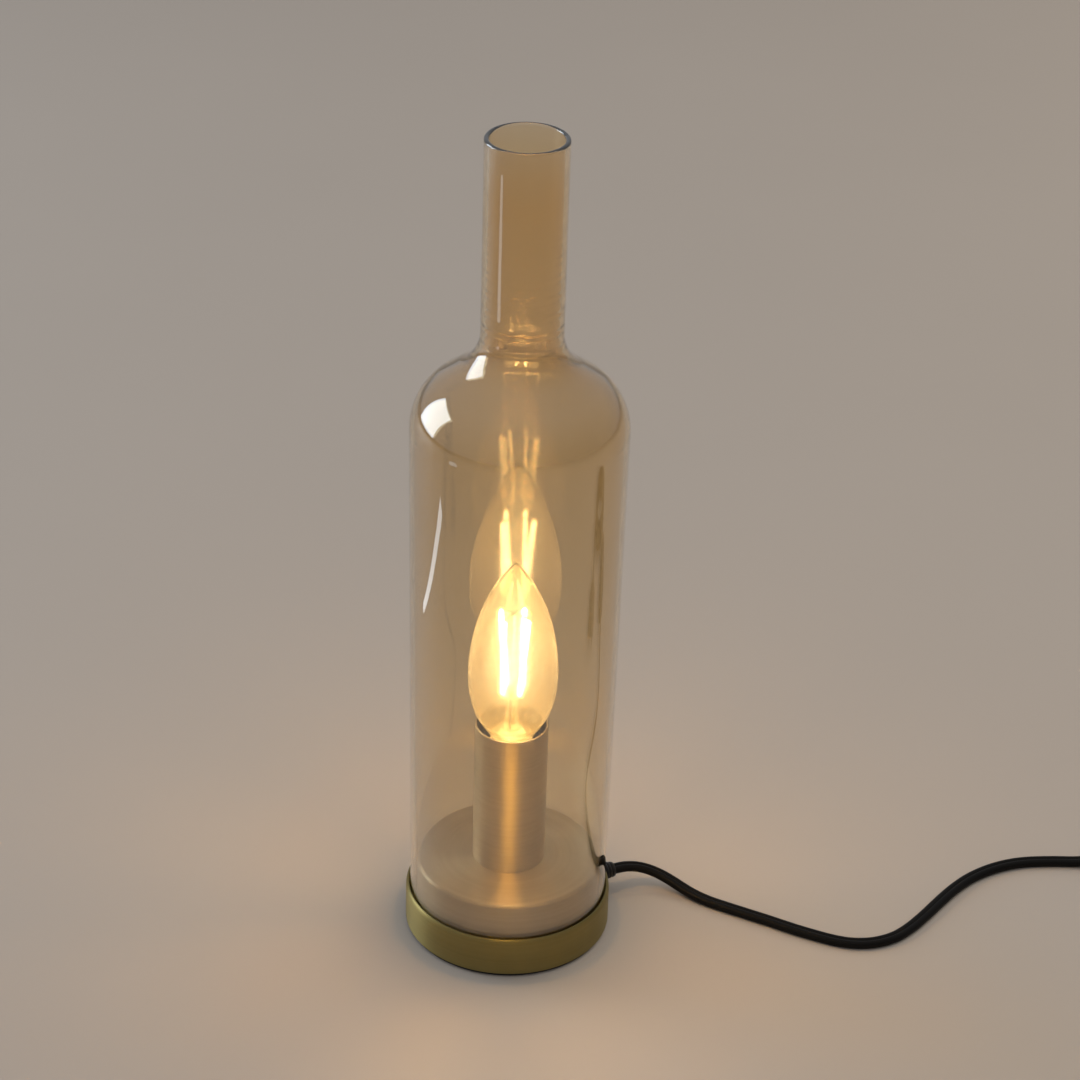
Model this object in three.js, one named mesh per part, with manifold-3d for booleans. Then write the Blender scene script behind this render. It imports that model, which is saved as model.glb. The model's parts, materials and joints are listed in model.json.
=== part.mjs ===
// A bottle table lamp: a tinted glass bottle stands in a turned metal dish,
// over a candle bulb on a metal sleeve.
// Millimetres, +Z up, origin at the middle of the underside. The cord leaves the dish towards +X.
import * as THREE from 'three';
import { mergeVertices } from 'three/addons/utils/BufferGeometryUtils.js';
import Module from 'manifold-3d';

const wasm = await Module();
wasm.setup();

// Facets of a full turn on large, middling and small round pieces
const LARGE_FACETS = 48;
const MIDDLE_FACETS = 28;
const SMALL_FACETS = 16;
const WIRE_FACETS = 8;

// Gap between a piece and the hole that it passes through, or the piece that it meets end to end
const FIT_GAP = 0.3;
// How far a cutting tool runs past the face that it cuts
const CUT_OVERRUN = 1.0;

// Glass bottle, open at its foot and at the top of its neck
const GLASS_WALL = 2.0;
const GLASS_SHOULDER_R = 41.0;
const GLASS_TAPER = 1.9;
const GLASS_BODY_LENGTH = 207;
const SHOULDER_CURVE_R = 23.7;
const SHOULDER_SLOPE = THREE.MathUtils.degToRad(55);
const NECK_HOLLOW_R = 18.0;
const NECK_R = 15.4;
const NECK_LENGTH = 75;
const BOTTLE_CURVE_STEPS = 5;
const RIM_CURVE_STEPS = 4;

// Dish, foot pad, glass seat and ballast
const FOOT_PAD_T = 1.5;
const FOOT_PAD_INSET = 0.9;
const FOOT_PAD_HOLE_R = 8.0;
const BALLAST_T = 11.3;
const BALLAST_GAP = 0.4;
const DISH_WALL = 1.3;
const DISH_PLATE_T = 1.2;
const DISH_RIM_HEIGHT = 3.6;
const DISH_RIM_ROUND = 1.0;
const GLASS_SIDE_GAP = 0.4;
const GLASS_SEAT_T = 1.2;

// Plinth drum inside the glass, and the sleeve that stands on it
const PLINTH_GAP = 0.8;
const PLINTH_HEIGHT = 17.6;
const PLINTH_WALL = 1.2;
const PLINTH_TOP_T = 1.5;
const PLINTH_EDGE_R = 2.2;
const EDGE_CURVE_STEPS = 3;
const SLEEVE_WALL = 1.0;
const SLEEVE_FLOOR_T = 1.5;
const SLEEVE_MOUTH_GAP = 2.0;
const SLEEVE_MOUTH_STEPS = 200;

// Threaded tube that pulls the stack together, with its nuts and washer
const NIPPLE_R = 5.0;
const NIPPLE_BORE_R = 3.9;
const NIPPLE_TAIL = 0.5;
const NIPPLE_GRIP = 5.0;
const NUT_ACROSS_FLATS = 14.0;
const NUT_T = 3.0;
const WASHER_R = 9.0;
const WASHER_T = 1.0;
const WASHER_ROOM = 4.0;

// Lamp holder
const HOLDER_WALL = 1.6;
const HOLDER_FLOOR_T = 3.0;
const HOLDER_GAP = 1.2;
const HOLDER_TOP_DROP = 0.5;
const SPIGOT_WALL = 1.3;
const SPIGOT_LENGTH = 4.8;
const SHELL_LEDGE_T = 1.5;
const CORE_WALL = 2.4;
const CORE_SHANK = 7.6;
const CORE_FLOOR_T = 0.8;
const CORE_RECESS = 5.0;
const SCREW_CONTACT_WALL = 0.35;
const SCREW_CONTACT_LENGTH = 16.0;
const CENTRE_CONTACT_H = 3.0;
const CENTRE_CONTACT_W = 4.0;
const CENTRE_CONTACT_LENGTH = 9.0;
const CENTRE_CONTACT_T = 0.6;
const TERMINAL_H = 4.0;
const TERMINAL_SIZE = 3.4;
const TERMINAL_SPREAD = 4.6;
const WIRE_ROOM = 2.7;

// Candle bulb with a small screw cap
const CAP_THREAD_R = 6.95;
const CAP_THREAD_DEPTH = 0.7;
const CAP_THREAD_PITCH = 2.822;
const CAP_THREAD_ROWS = 24;
const CAP_METAL_T = 0.9;
const CAP_LENGTH = 25.5;
const CAP_COLLAR_H = 8.1;
const CAP_TIP_T = 0.9;
const CAP_TIP_R = 3.3;
const CAP_INSULATOR_H = 3.0;
const BULB_NECK_R = 8.2;
const BULB_R = 17.5;
const BULB_BELL_HEIGHT = 27.9;
const BULB_FLAME_HEIGHT = 49.5;
const BULB_GLASS_T = 0.8;
const BULB_BELL_STEPS = 6;
const BULB_FLAME_STEPS = 9;
// Pulls of the bulb's two curves, as shares of the bell's swell, the widest radius and each curve's height
const BELL_LOW_SWELL = 0.21;
const BELL_LOW_RISE = 0.15;
const BELL_HIGH_RISE = 0.35;
const FLAME_LOW_RISE = 0.39;
const FLAME_HIGH_RISE = 0.76;
const FLAME_HIGH_SWELL = 0.61;
const STEM_HEIGHT = 18.0;
const STEM_R = 2.4;
const STEM_FOOT_R = 3.6;
const STEM_FLARE_T = 1.2;
const FILAMENT_COUNT = 4;
const FILAMENT_R = 0.9;
const FILAMENT_LENGTH = 34.0;
const FILAMENT_RISE = 2.0;
const FILAMENT_LOW_R = 4.6;
const FILAMENT_HIGH_R = 6.6;
const FILAMENT_TWIST = THREE.MathUtils.degToRad(20);
const FILAMENT_START = THREE.MathUtils.degToRad(35);
const SUPPORT_WIRE_R = 0.4;

// Cord, and the bush that carries it through the dish wall
const CORD_WIDTH = 5.2;
const CORD_THICKNESS = 3.2;
const CORD_SIDES = 8;
const CORD_REST_GAP = 0.1;
const BUSH_ANGLE = THREE.MathUtils.degToRad(25);
const BUSH_TAIL_R = 3.0;
const BUSH_NECK_R = 2.6;
const BUSH_HEAD_R = 3.7;
const BUSH_TIP_R = 3.0;
const BUSH_HEAD_LENGTH = 6.4;
const BUSH_TAIL_LENGTH = 13.0;
const SLOT_SIDE_GAP = 0.6;
const SLOT_ROOF_GAP = 0.3;

// Clamp that holds the cord inside the ballast
const CLAMP_LENGTH = 7.0;
const CLAMP_WIDTH = 19.0;
const CLAMP_T = 2.0;
const CLAMP_SCREW_R = 1.2;
const CLAMP_SCREW_HEAD_R = 2.2;
const CLAMP_SCREW_HEAD_T = 1.4;
const CLAMP_SCREW_LENGTH = 6.0;
const CLAMP_SCREW_SPREAD = 6.8;
const SHEATH_END_ROOM = 0.6;
const WIRE_R = 1.0;
const WIRE_SPREAD = 1.3;
const WIRE_TOP_SPREAD = 1.82;
const INNER_WIRE_STEPS = 24;
const SHEATH_STEPS = 4;

// Switch on the cord
const SWITCH_AHEAD = 225;
const SWITCH_ASIDE = 24.3;
const SWITCH_HEIGHT = 17.0;
const SWITCH_WALL = 1.8;
const SWITCH_SIDE_WALL = 4.0;
const SWITCH_END_BLOCK = 12.5;
const SWITCH_CORNER_R = 9.0;
const SWITCH_EDGE = 1.6;
const SWITCH_EDGE_STEPS = 2;
const SWITCH_CORNER_STEPS = 5;
const SWITCH_SPLIT_GAP = 0.2;
const SWITCH_SCREW_R = 1.3;
const SWITCH_SCREW_HEAD_R = 2.6;
const SWITCH_SCREW_HEAD_T = 1.8;
const SWITCH_SCREW_DEPTH = 5.0;
const ROCKER_LENGTH = 17.0;
const ROCKER_WIDTH = 12.0;
const ROCKER_END_RISE = 4.2;
const ROCKER_MIDDLE_RISE = 3.2;
const ROCKER_BELLY = 4.0;
const ROCKER_TILT = THREE.MathUtils.degToRad(8);
const ROCKER_PIN_R = 0.9;
const ROCKER_PIN_REACH = 2.2;
const ROCKER_SIDE_GAP = 0.4;
const POCKET_ROOM = 8.0;
const SWITCH_TERMINAL_W = 5.0;
const SWITCH_TERMINAL_T = 0.8;
const SWITCH_TERMINAL_LENGTH = 9.0;
const SWITCH_TERMINAL_RISE = 3.5;

// Coil of the cord's unseen length, its tie and the plug
const COIL_LAYERS = 4;
const COIL_TURNS_PER_LAYER = 1.5;
const COIL_STEPS_PER_TURN = 24;
const COIL_INNER_R = 24.0;
const COIL_TURN_PITCH = 6.8;
const COIL_LAYER_PITCH = 4.1;
const COIL_RUN_IN = 45.0;
const COIL_RUN_OUT = 50.0;
const COIL_RUN_STEPS = 7;
const COIL_LEAST_GAP = 0.4;
const TIE_WIDTH = 8.0;
const TIE_T = 0.8;
const TIE_GAP = 0.35;
const PLUG_THICKNESS = 13.7;
const PLUG_WIDTH = 35.0;
const PLUG_LENGTH = 33.0;
const PLUG_TAIL_WIDTH = 13.0;
const PLUG_SHOULDER = 17.0;
const PLUG_EDGE = 2.0;
const PLUG_EDGE_STEPS = 2;
const PLUG_RELIEF_LENGTH = 24.0;
const PLUG_RELIEF_R = 5.2;
const PLUG_RELIEF_TIP_R = 3.2;
const PLUG_RELIEF_SINK = 3.0;
const PLUG_PIN_R = 2.0;
const PLUG_PIN_LENGTH = 19.0;
const PLUG_PIN_SPREAD = 9.3;

// Heights, from the table up
const DISH_FOOT_Z = FOOT_PAD_T;
const PLATE_UNDER_Z = DISH_FOOT_Z + BALLAST_T;
const PLATE_TOP_Z = PLATE_UNDER_Z + DISH_PLATE_T;
const GLASS_FOOT_Z = PLATE_TOP_Z + GLASS_SEAT_T;
const DISH_RIM_Z = PLATE_TOP_Z + DISH_RIM_HEIGHT;
const PLINTH_TOP_Z = PLATE_TOP_Z + PLINTH_HEIGHT;
const SLEEVE_FLOOR_Z = PLINTH_TOP_Z + SLEEVE_FLOOR_T;
const HOLDER_FOOT_Z = SLEEVE_FLOOR_Z + NUT_T;
const HOLDER_FLOOR_Z = HOLDER_FOOT_Z + HOLDER_FLOOR_T;
const NIPPLE_TOP_Z = HOLDER_FLOOR_Z + NIPPLE_GRIP;
const TERMINAL_Z = NIPPLE_TOP_Z + WIRE_ROOM;
const CORE_FOOT_Z = TERMINAL_Z + TERMINAL_H;
const SHELL_LEDGE_Z = CORE_FOOT_Z + CORE_SHANK;
const HOLDER_SPLIT_Z = SHELL_LEDGE_Z - SHELL_LEDGE_T;
const CORE_FLOOR_Z = SHELL_LEDGE_Z + CORE_FLOOR_T;
const BULB_TIP_Z = CORE_FLOOR_Z + CENTRE_CONTACT_H + FIT_GAP;
const CAP_RIM_Z = BULB_TIP_Z + CAP_LENGTH;
const HOLDER_TOP_Z = CAP_RIM_Z - HOLDER_TOP_DROP;
const CORE_TOP_Z = HOLDER_TOP_Z - CORE_RECESS;
const CAP_METAL_Z = BULB_TIP_Z + CAP_TIP_T + CAP_INSULATOR_H;
const CAP_THREAD_TOP_Z = CAP_RIM_Z - CAP_COLLAR_H;
const BULB_NECK_Z = CAP_RIM_Z + FIT_GAP;
const STEM_TOP_Z = BULB_NECK_Z + STEM_HEIGHT;
const FILAMENT_Z = STEM_TOP_Z + FILAMENT_RISE;
const WASHER_Z = PLATE_UNDER_Z - WASHER_T;
const LOWER_NUT_Z = WASHER_Z - NUT_T;
const NIPPLE_FOOT_Z = LOWER_NUT_Z - NIPPLE_TAIL;
const BUSH_Z = PLATE_UNDER_Z - BUSH_TAIL_R - SLOT_ROOF_GAP;
const SHEATH_Z = BUSH_Z;
const CLAMP_Z = SHEATH_Z - CORD_THICKNESS / 2 - FIT_GAP - CLAMP_T;
const CORD_REST_Z = CORD_THICKNESS / 2 + CORD_REST_GAP;

// Radii, from the bulb's cap outwards and from the glass inwards
const GLASS_FOOT_R = GLASS_SHOULDER_R - GLASS_TAPER;
const NIPPLE_HOLE_R = NIPPLE_R + FIT_GAP;
const SCREW_CONTACT_BORE_R = CAP_THREAD_R + FIT_GAP;
const SCREW_CONTACT_R = SCREW_CONTACT_BORE_R + SCREW_CONTACT_WALL;
const CORE_BORE_R = SCREW_CONTACT_R + FIT_GAP;
const CORE_R = CORE_BORE_R + CORE_WALL;
const SHELL_BORE_R = CORE_R + FIT_GAP;
const HOLDER_R = SHELL_BORE_R + HOLDER_WALL;
const SPIGOT_R = SHELL_BORE_R - FIT_GAP;
const SPIGOT_BORE_R = SPIGOT_R - SPIGOT_WALL;
const CORE_SHANK_R = SPIGOT_BORE_R - FIT_GAP;
const SLEEVE_BORE_R = HOLDER_R + HOLDER_GAP;
const SLEEVE_R = SLEEVE_BORE_R + SLEEVE_WALL;
const DISH_BORE_R = GLASS_FOOT_R + GLASS_SIDE_GAP;
const DISH_R = DISH_BORE_R + DISH_WALL;
const PLINTH_R = GLASS_FOOT_R - GLASS_WALL - PLINTH_GAP;
const BALLAST_R = DISH_BORE_R - BALLAST_GAP;
const BALLAST_HOLE_R = WASHER_R + WASHER_ROOM;
const BUSH_TIP_REACH = DISH_R + FIT_GAP + BUSH_HEAD_LENGTH;
const BUSH_TIP_X = BUSH_TIP_REACH * Math.cos(BUSH_ANGLE);
const BUSH_TIP_Y = BUSH_TIP_REACH * Math.sin(BUSH_ANGLE);
const BUSH_TAIL_FACE = Math.sqrt(DISH_BORE_R ** 2 - BUSH_TAIL_R ** 2) - FIT_GAP;
const BUSH_TAIL_END = BUSH_TAIL_FACE - BUSH_TAIL_LENGTH;

// Switch and coil places that follow from the sizes above
const SWITCH_X = BUSH_TIP_X + SWITCH_AHEAD;
const SWITCH_Y = BUSH_TIP_Y + SWITCH_ASIDE;
const POCKET_LENGTH = ROCKER_LENGTH + 2 * POCKET_ROOM;
const POCKET_WIDTH = ROCKER_WIDTH + 2 * (ROCKER_PIN_REACH + ROCKER_SIDE_GAP);
const SWITCH_LENGTH = POCKET_LENGTH + 2 * SWITCH_END_BLOCK;
const SWITCH_WIDTH = POCKET_WIDTH + 2 * SWITCH_SIDE_WALL;
const SWITCH_SPLIT_Z = SWITCH_HEIGHT / 2;
const ROCKER_PIN_Z = SWITCH_HEIGHT - SWITCH_WALL - FIT_GAP - ROCKER_PIN_R;
const COIL_OUTER_R = COIL_INNER_R + COIL_TURN_PITCH * COIL_TURNS_PER_LAYER;
const COIL_X = SWITCH_X + SWITCH_LENGTH + FIT_GAP + COIL_RUN_IN;
const COIL_Y = SWITCH_Y - COIL_OUTER_R;
const COIL_LOW_Z = TIE_T + TIE_GAP + CORD_THICKNESS / 2;
const PLUG_X = COIL_X - COIL_RUN_OUT - FIT_GAP;

// Route of the cord from the bush to the switch, along the line that the cord lies on:
// each point is given by its distance along X and Y from the bush's tip and its height over the table
const LEAD_OFFSETS = [
  [0.3, 0.1, BUSH_Z],
  [4.9, 2.1, 9.3],
  [9.8, 3.2, 8.6],
  [14.8, 3.1, 7.4],
  [19.6, 1.9, 5.9],
  [24.1, -0.3, 4.5],
  [28.3, -3.1, 3.3],
  [32.4, -5.9, 2.4],
  [38.8, -9.8, 1.8],
  [47.8, -14.4, CORD_REST_Z],
  [61.4, -21.1, CORD_REST_Z],
  [75.9, -28.5, CORD_REST_Z],
  [90.4, -34.3, CORD_REST_Z],
  [97.8, -35.3, CORD_REST_Z],
  [105.1, -34.3, CORD_REST_Z],
  [112.8, -30.7, CORD_REST_Z],
  [119.4, -24.7, CORD_REST_Z],
  [126.7, -15.8, CORD_REST_Z],
  [134.0, -5.8, CORD_REST_Z],
  [141.2, 3.4, CORD_REST_Z],
  [148.5, 10.9, CORD_REST_Z],
  [156.8, 16.9, CORD_REST_Z],
  [165.0, 20.9, CORD_REST_Z],
  [172.8, 23.1, CORD_REST_Z],
  [183.9, 24.2, CORD_REST_Z],
  [195.0, 24.3, 1.9],
  [203.0, 24.3, 3.2],
  [211.0, 24.3, 5.7],
  [219.0, 24.3, 8.0],
  [SWITCH_AHEAD - FIT_GAP, SWITCH_ASIDE, SWITCH_SPLIT_Z],
];
const LEAD_POINTS = LEAD_OFFSETS.map(([ahead, aside, z]) => [BUSH_TIP_X + ahead, BUSH_TIP_Y + aside, z]);
const LEAD_STEPS = 36;

// Colours and finishes read off the lamp
const FINISHES = {
  amberGlass: { color: 0xd9b079, roughness: 0.05, metalness: 0.0 },
  clearGlass: { color: 0xf4ead2, roughness: 0.04, metalness: 0.0 },
  dishBrass: { color: 0x9a8445, roughness: 0.38, metalness: 1.0 },
  champagne: { color: 0xbba583, roughness: 0.34, metalness: 1.0 },
  plainBrass: { color: 0xc6a15a, roughness: 0.3, metalness: 1.0 },
  zincSteel: { color: 0xa9aaa8, roughness: 0.4, metalness: 1.0 },
  castIron: { color: 0x4a4947, roughness: 0.75, metalness: 0.6 },
  blackRubber: { color: 0x171615, roughness: 0.85, metalness: 0.0 },
  blackPlastic: { color: 0x1b1a19, roughness: 0.45, metalness: 0.0 },
  cordPlastic: { color: 0x121110, roughness: 0.4, metalness: 0.0 },
  whiteCeramic: { color: 0xe9e5dc, roughness: 0.5, metalness: 0.0 },
  brownWire: { color: 0x5b3a22, roughness: 0.5, metalness: 0.0 },
  blueWire: { color: 0x2f5a8c, roughness: 0.5, metalness: 0.0 },
  litFilament: { color: 0xffd27a, roughness: 0.5, metalness: 0.0 },
  nickelWire: { color: 0xb7b4ac, roughness: 0.35, metalness: 1.0 },
};

const lamp = new THREE.Group();

// Adds one named piece with a material of its own
function addPart(name, geometry, finish, parent = lamp) {
  const mesh = new THREE.Mesh(geometry, new THREE.MeshStandardMaterial(FINISHES[finish]));
  mesh.name = name;
  parent.add(mesh);
  return mesh;
}

// Turns [radius, height] pairs about Z; the pairs run anticlockwise round the section
function turned(profile, facets) {
  const points = profile.map(([radius, height]) => new THREE.Vector2(radius, height));
  return new THREE.LatheGeometry(points, facets).rotateX(Math.PI / 2);
}

// Turns a section that doesn't touch the axis
function turnedRing(profile, facets) {
  return turned([...profile, profile[0]], facets);
}

// A ring of square section
function flatRing(innerR, outerR, lowZ, highZ, facets) {
  return turnedRing([[innerR, lowZ], [outerR, lowZ], [outerR, highZ], [innerR, highZ]], facets);
}

// Points of an arc in the section plane
function arc(centreR, centreZ, radius, fromAngle, toAngle, steps) {
  return Array.from({ length: steps + 1 }, (_, i) => {
    const angle = fromAngle + ((toAngle - fromAngle) * i) / steps;
    return [centreR + radius * Math.cos(angle), centreZ + radius * Math.sin(angle)];
  });
}

// A box between two corners
function boxBetween(low, high) {
  const size = high.map((value, i) => value - low[i]);
  const middle = high.map((value, i) => (value + low[i]) / 2);
  return new THREE.BoxGeometry(...size).translate(...middle);
}

// A plain round bar between two points
function bar(start, end, radius, facets) {
  const along = new THREE.Vector3().subVectors(end, start);
  const upright = new THREE.Vector3(0, 1, 0);
  const turn = new THREE.Quaternion().setFromUnitVectors(upright, along.clone().normalize());
  const middle = new THREE.Vector3().addVectors(start, end).multiplyScalar(0.5);
  return new THREE.CylinderGeometry(radius, radius, along.length(), facets)
    .applyQuaternion(turn)
    .translate(middle.x, middle.y, middle.z);
}

// Closed mesh to solid: shared corners are merged and triangles that a pole has shrunk to a line are dropped
function toSolid(geometry) {
  const bare = geometry.clone();
  bare.deleteAttribute('normal');
  bare.deleteAttribute('uv');
  const merged = mergeVertices(bare);
  const corners = merged.index.array;
  const kept = [];
  for (let i = 0; i < corners.length; i += 3) {
    const [a, b, c] = [corners[i], corners[i + 1], corners[i + 2]];
    if (a !== b && b !== c && c !== a) kept.push(a, b, c);
  }
  const vertProperties = Float32Array.from(merged.attributes.position.array);
  const mesh = new wasm.Mesh({ numProp: 3, vertProperties, triVerts: Uint32Array.from(kept) });
  return new wasm.Manifold(mesh);
}

// Solid back to a mesh
function toGeometry(solid) {
  const mesh = solid.getMesh();
  const geometry = new THREE.BufferGeometry();
  geometry.setAttribute('position', new THREE.Float32BufferAttribute(mesh.vertProperties, 3));
  geometry.setIndex(Array.from(mesh.triVerts));
  geometry.computeVertexNormals();
  return geometry;
}

function cut(body, ...tools) {
  return toGeometry(tools.reduce((solid, tool) => solid.subtract(toSolid(tool)), toSolid(body)));
}

function join(first, ...others) {
  return toGeometry(others.reduce((solid, other) => solid.add(toSolid(other)), toSolid(first)));
}

// Oval section with its thickness along x and its width along y
function ovalSection(width, thickness, sides) {
  const points = Array.from({ length: sides }, (_, i) => {
    const angle = (2 * Math.PI * i) / sides;
    return new THREE.Vector2((thickness / 2) * Math.cos(angle), (width / 2) * Math.sin(angle));
  });
  return new THREE.Shape(points);
}

// A tube of a given section along points
function tubeAlong(points, section, steps) {
  const places = points.map((point) => new THREE.Vector3(...point));
  const path = new THREE.CatmullRomCurve3(places, false, 'centripetal');
  return new THREE.ExtrudeGeometry(section, { steps, extrudePath: path, bevelEnabled: false });
}

// Side of the bottle from its foot to the foot of its neck, moved in from the outside by a given depth
function bottleSide(depth) {
  const inset = GLASS_SHOULDER_R - NECK_R;
  const curveInset = (SHOULDER_CURVE_R + NECK_HOLLOW_R) * (1 - Math.cos(SHOULDER_SLOPE));
  const share = Math.min(1, inset / curveInset);
  const curveR = SHOULDER_CURVE_R * share;
  const hollowR = NECK_HOLLOW_R * share;
  const straight = (inset - curveInset * share) / Math.sin(SHOULDER_SLOPE);
  const shoulderZ = GLASS_FOOT_Z + GLASS_BODY_LENGTH;
  const curveRise = (curveR + hollowR) * Math.sin(SHOULDER_SLOPE);
  const neckZ = shoulderZ + curveRise + straight * Math.cos(SHOULDER_SLOPE);
  const curve = arc(
    GLASS_SHOULDER_R - curveR, shoulderZ, curveR - depth, 0, SHOULDER_SLOPE, BOTTLE_CURVE_STEPS,
  );
  const hollow = arc(
    NECK_R + hollowR, neckZ, hollowR + depth, Math.PI + SHOULDER_SLOPE, Math.PI, BOTTLE_CURVE_STEPS,
  );
  return { points: [[GLASS_FOOT_R - depth, GLASS_FOOT_Z], ...curve, ...hollow], neckZ };
}

// Body and shoulder of the bottle; the neck goes on from its top face
function glassBottle() {
  return turnedRing([...bottleSide(0).points, ...bottleSide(GLASS_WALL).points.reverse()], LARGE_FACETS);
}

// Neck of the same glass with its rounded lip, a solid of its own so that its bore stays open in use
function glassNeck() {
  const { neckZ } = bottleSide(0);
  const lip = GLASS_WALL / 2;
  const rim = arc(NECK_R - lip, neckZ + NECK_LENGTH - lip, lip, 0, Math.PI, RIM_CURVE_STEPS);
  return turnedRing([[NECK_R - GLASS_WALL, neckZ], [NECK_R, neckZ], ...rim], LARGE_FACETS);
}

function footPad() {
  return flatRing(FOOT_PAD_HOLE_R, DISH_R - FOOT_PAD_INSET, 0, FOOT_PAD_T, LARGE_FACETS);
}

// Wall, rounded rim and floor plate of the dish in one turning, with the hole for the bush
function baseDish() {
  const rim = arc(
    DISH_R - DISH_RIM_ROUND, DISH_RIM_Z - DISH_RIM_ROUND, DISH_RIM_ROUND, 0, Math.PI / 2, EDGE_CURVE_STEPS,
  );
  const turning = turnedRing([
    [DISH_BORE_R, DISH_FOOT_Z],
    [DISH_R, DISH_FOOT_Z],
    ...rim,
    [DISH_BORE_R, DISH_RIM_Z],
    [DISH_BORE_R, PLATE_TOP_Z],
    [NIPPLE_HOLE_R, PLATE_TOP_Z],
    [NIPPLE_HOLE_R, PLATE_UNDER_Z],
    [DISH_BORE_R, PLATE_UNDER_Z],
  ], LARGE_FACETS);
  const along = new THREE.Vector3(Math.cos(BUSH_ANGLE), Math.sin(BUSH_ANGLE), 0);
  const inner = along.clone().multiplyScalar(BUSH_TAIL_END).setZ(BUSH_Z);
  const outer = along.clone().multiplyScalar(BUSH_TIP_REACH).setZ(BUSH_Z);
  return cut(turning, bar(inner, outer, BUSH_NECK_R + FIT_GAP, SMALL_FACETS));
}

function glassSeat() {
  return flatRing(PLINTH_R + GLASS_SIDE_GAP, GLASS_FOOT_R, PLATE_TOP_Z, GLASS_FOOT_Z, LARGE_FACETS);
}

// Cast ring with a slot for the cord, a pocket for the clamp and holes for its screws; x runs along the slot
function ballast() {
  const ring = flatRing(BALLAST_HOLE_R, BALLAST_R, DISH_FOOT_Z, PLATE_UNDER_Z, LARGE_FACETS);
  const slotHalf = BUSH_TAIL_R + SLOT_SIDE_GAP;
  const slot = boxBetween(
    [BUSH_TAIL_END - SLOT_SIDE_GAP, -slotHalf, DISH_FOOT_Z - CUT_OVERRUN],
    [DISH_R, slotHalf, PLATE_UNDER_Z + CUT_OVERRUN],
  );
  const sheathRoof = SHEATH_Z + CORD_THICKNESS / 2 + SLOT_ROOF_GAP;
  const sheathSlot = boxBetween(
    [0, -slotHalf, DISH_FOOT_Z - CUT_OVERRUN],
    [BUSH_TAIL_END, slotHalf, sheathRoof],
  );
  const pocket = boxBetween(
    [clampX() - CLAMP_LENGTH / 2 - FIT_GAP, -CLAMP_WIDTH / 2 - FIT_GAP, DISH_FOOT_Z - CUT_OVERRUN],
    [clampX() + CLAMP_LENGTH / 2 + FIT_GAP, CLAMP_WIDTH / 2 + FIT_GAP, CLAMP_Z + CLAMP_T],
  );
  const screwHoles = clampScrewPlaces().map(({ x, y }) => bar(
    new THREE.Vector3(x, y, DISH_FOOT_Z),
    new THREE.Vector3(x, y, CLAMP_Z + CLAMP_SCREW_LENGTH + FIT_GAP),
    CLAMP_SCREW_R + FIT_GAP,
    SMALL_FACETS,
  ));
  return cut(ring, slot, sheathSlot, pocket, ...screwHoles);
}

// Inner end of the cord's sheath, just outside the ballast's hole
function sheathEnd() {
  return BALLAST_HOLE_R + SHEATH_END_ROOM;
}

// The clamp sits between the sheath's end and the bush
function clampX() {
  return (sheathEnd() + BUSH_TAIL_END) / 2;
}

function clampScrewPlaces() {
  return [-1, 1].map((side) => ({ x: clampX(), y: side * CLAMP_SCREW_SPREAD }));
}

function cordClamp() {
  const plate = boxBetween(
    [clampX() - CLAMP_LENGTH / 2, -CLAMP_WIDTH / 2, CLAMP_Z],
    [clampX() + CLAMP_LENGTH / 2, CLAMP_WIDTH / 2, CLAMP_Z + CLAMP_T],
  );
  const holes = clampScrewPlaces().map(({ x, y }) => bar(
    new THREE.Vector3(x, y, CLAMP_Z - CUT_OVERRUN),
    new THREE.Vector3(x, y, CLAMP_Z + CLAMP_T + CUT_OVERRUN),
    CLAMP_SCREW_R + FIT_GAP,
    SMALL_FACETS,
  ));
  return cut(plate, ...holes);
}

// A screw with its head down, its head's bearing face at z = 0
function screw(radius, headRadius, headT, length) {
  return turned([
    [0, -headT],
    [headRadius, -headT],
    [headRadius, 0],
    [radius, 0],
    [radius, length],
    [0, length],
  ], SMALL_FACETS);
}

// Bush turned about +X: an inner tail, a waist in the dish wall and a tapered head
function cordBush() {
  const headFace = DISH_R + FIT_GAP;
  return turned([
    [0, BUSH_TAIL_END],
    [BUSH_TAIL_R, BUSH_TAIL_END],
    [BUSH_TAIL_R, BUSH_TAIL_FACE],
    [BUSH_NECK_R, BUSH_TAIL_FACE],
    [BUSH_NECK_R, headFace],
    [BUSH_HEAD_R, headFace],
    [BUSH_HEAD_R, headFace + BUSH_HEAD_LENGTH / 4],
    [BUSH_TIP_R, BUSH_TIP_REACH],
    [0, BUSH_TIP_REACH],
  ], SMALL_FACETS).rotateY(Math.PI / 2);
}

// Plinth: a drum with a flat top, a rounded edge and a skirt that stands on the dish plate
function plinthDrum() {
  const edge = arc(
    PLINTH_R - PLINTH_EDGE_R, PLINTH_TOP_Z - PLINTH_EDGE_R, PLINTH_EDGE_R, 0, Math.PI / 2, EDGE_CURVE_STEPS,
  );
  const underZ = PLINTH_TOP_Z - PLINTH_TOP_T;
  return turnedRing([
    [PLINTH_R - PLINTH_WALL, PLATE_TOP_Z],
    [PLINTH_R, PLATE_TOP_Z],
    ...edge,
    [NIPPLE_HOLE_R, PLINTH_TOP_Z],
    [NIPPLE_HOLE_R, underZ],
    [PLINTH_R - PLINTH_EDGE_R, underZ],
    [PLINTH_R - PLINTH_WALL, underZ - PLINTH_EDGE_R + PLINTH_WALL],
  ], LARGE_FACETS);
}

// The sleeve ends where the bulb's bell comes close to its bore
function sleeveTopZ() {
  const reach = SLEEVE_BORE_R - SLEEVE_MOUTH_GAP;
  const bell = bellCurve(0).getPoints(SLEEVE_MOUTH_STEPS);
  const mouth = bell.find((point) => point.x >= reach) ?? bell[bell.length - 1];
  return mouth.y;
}

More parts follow.
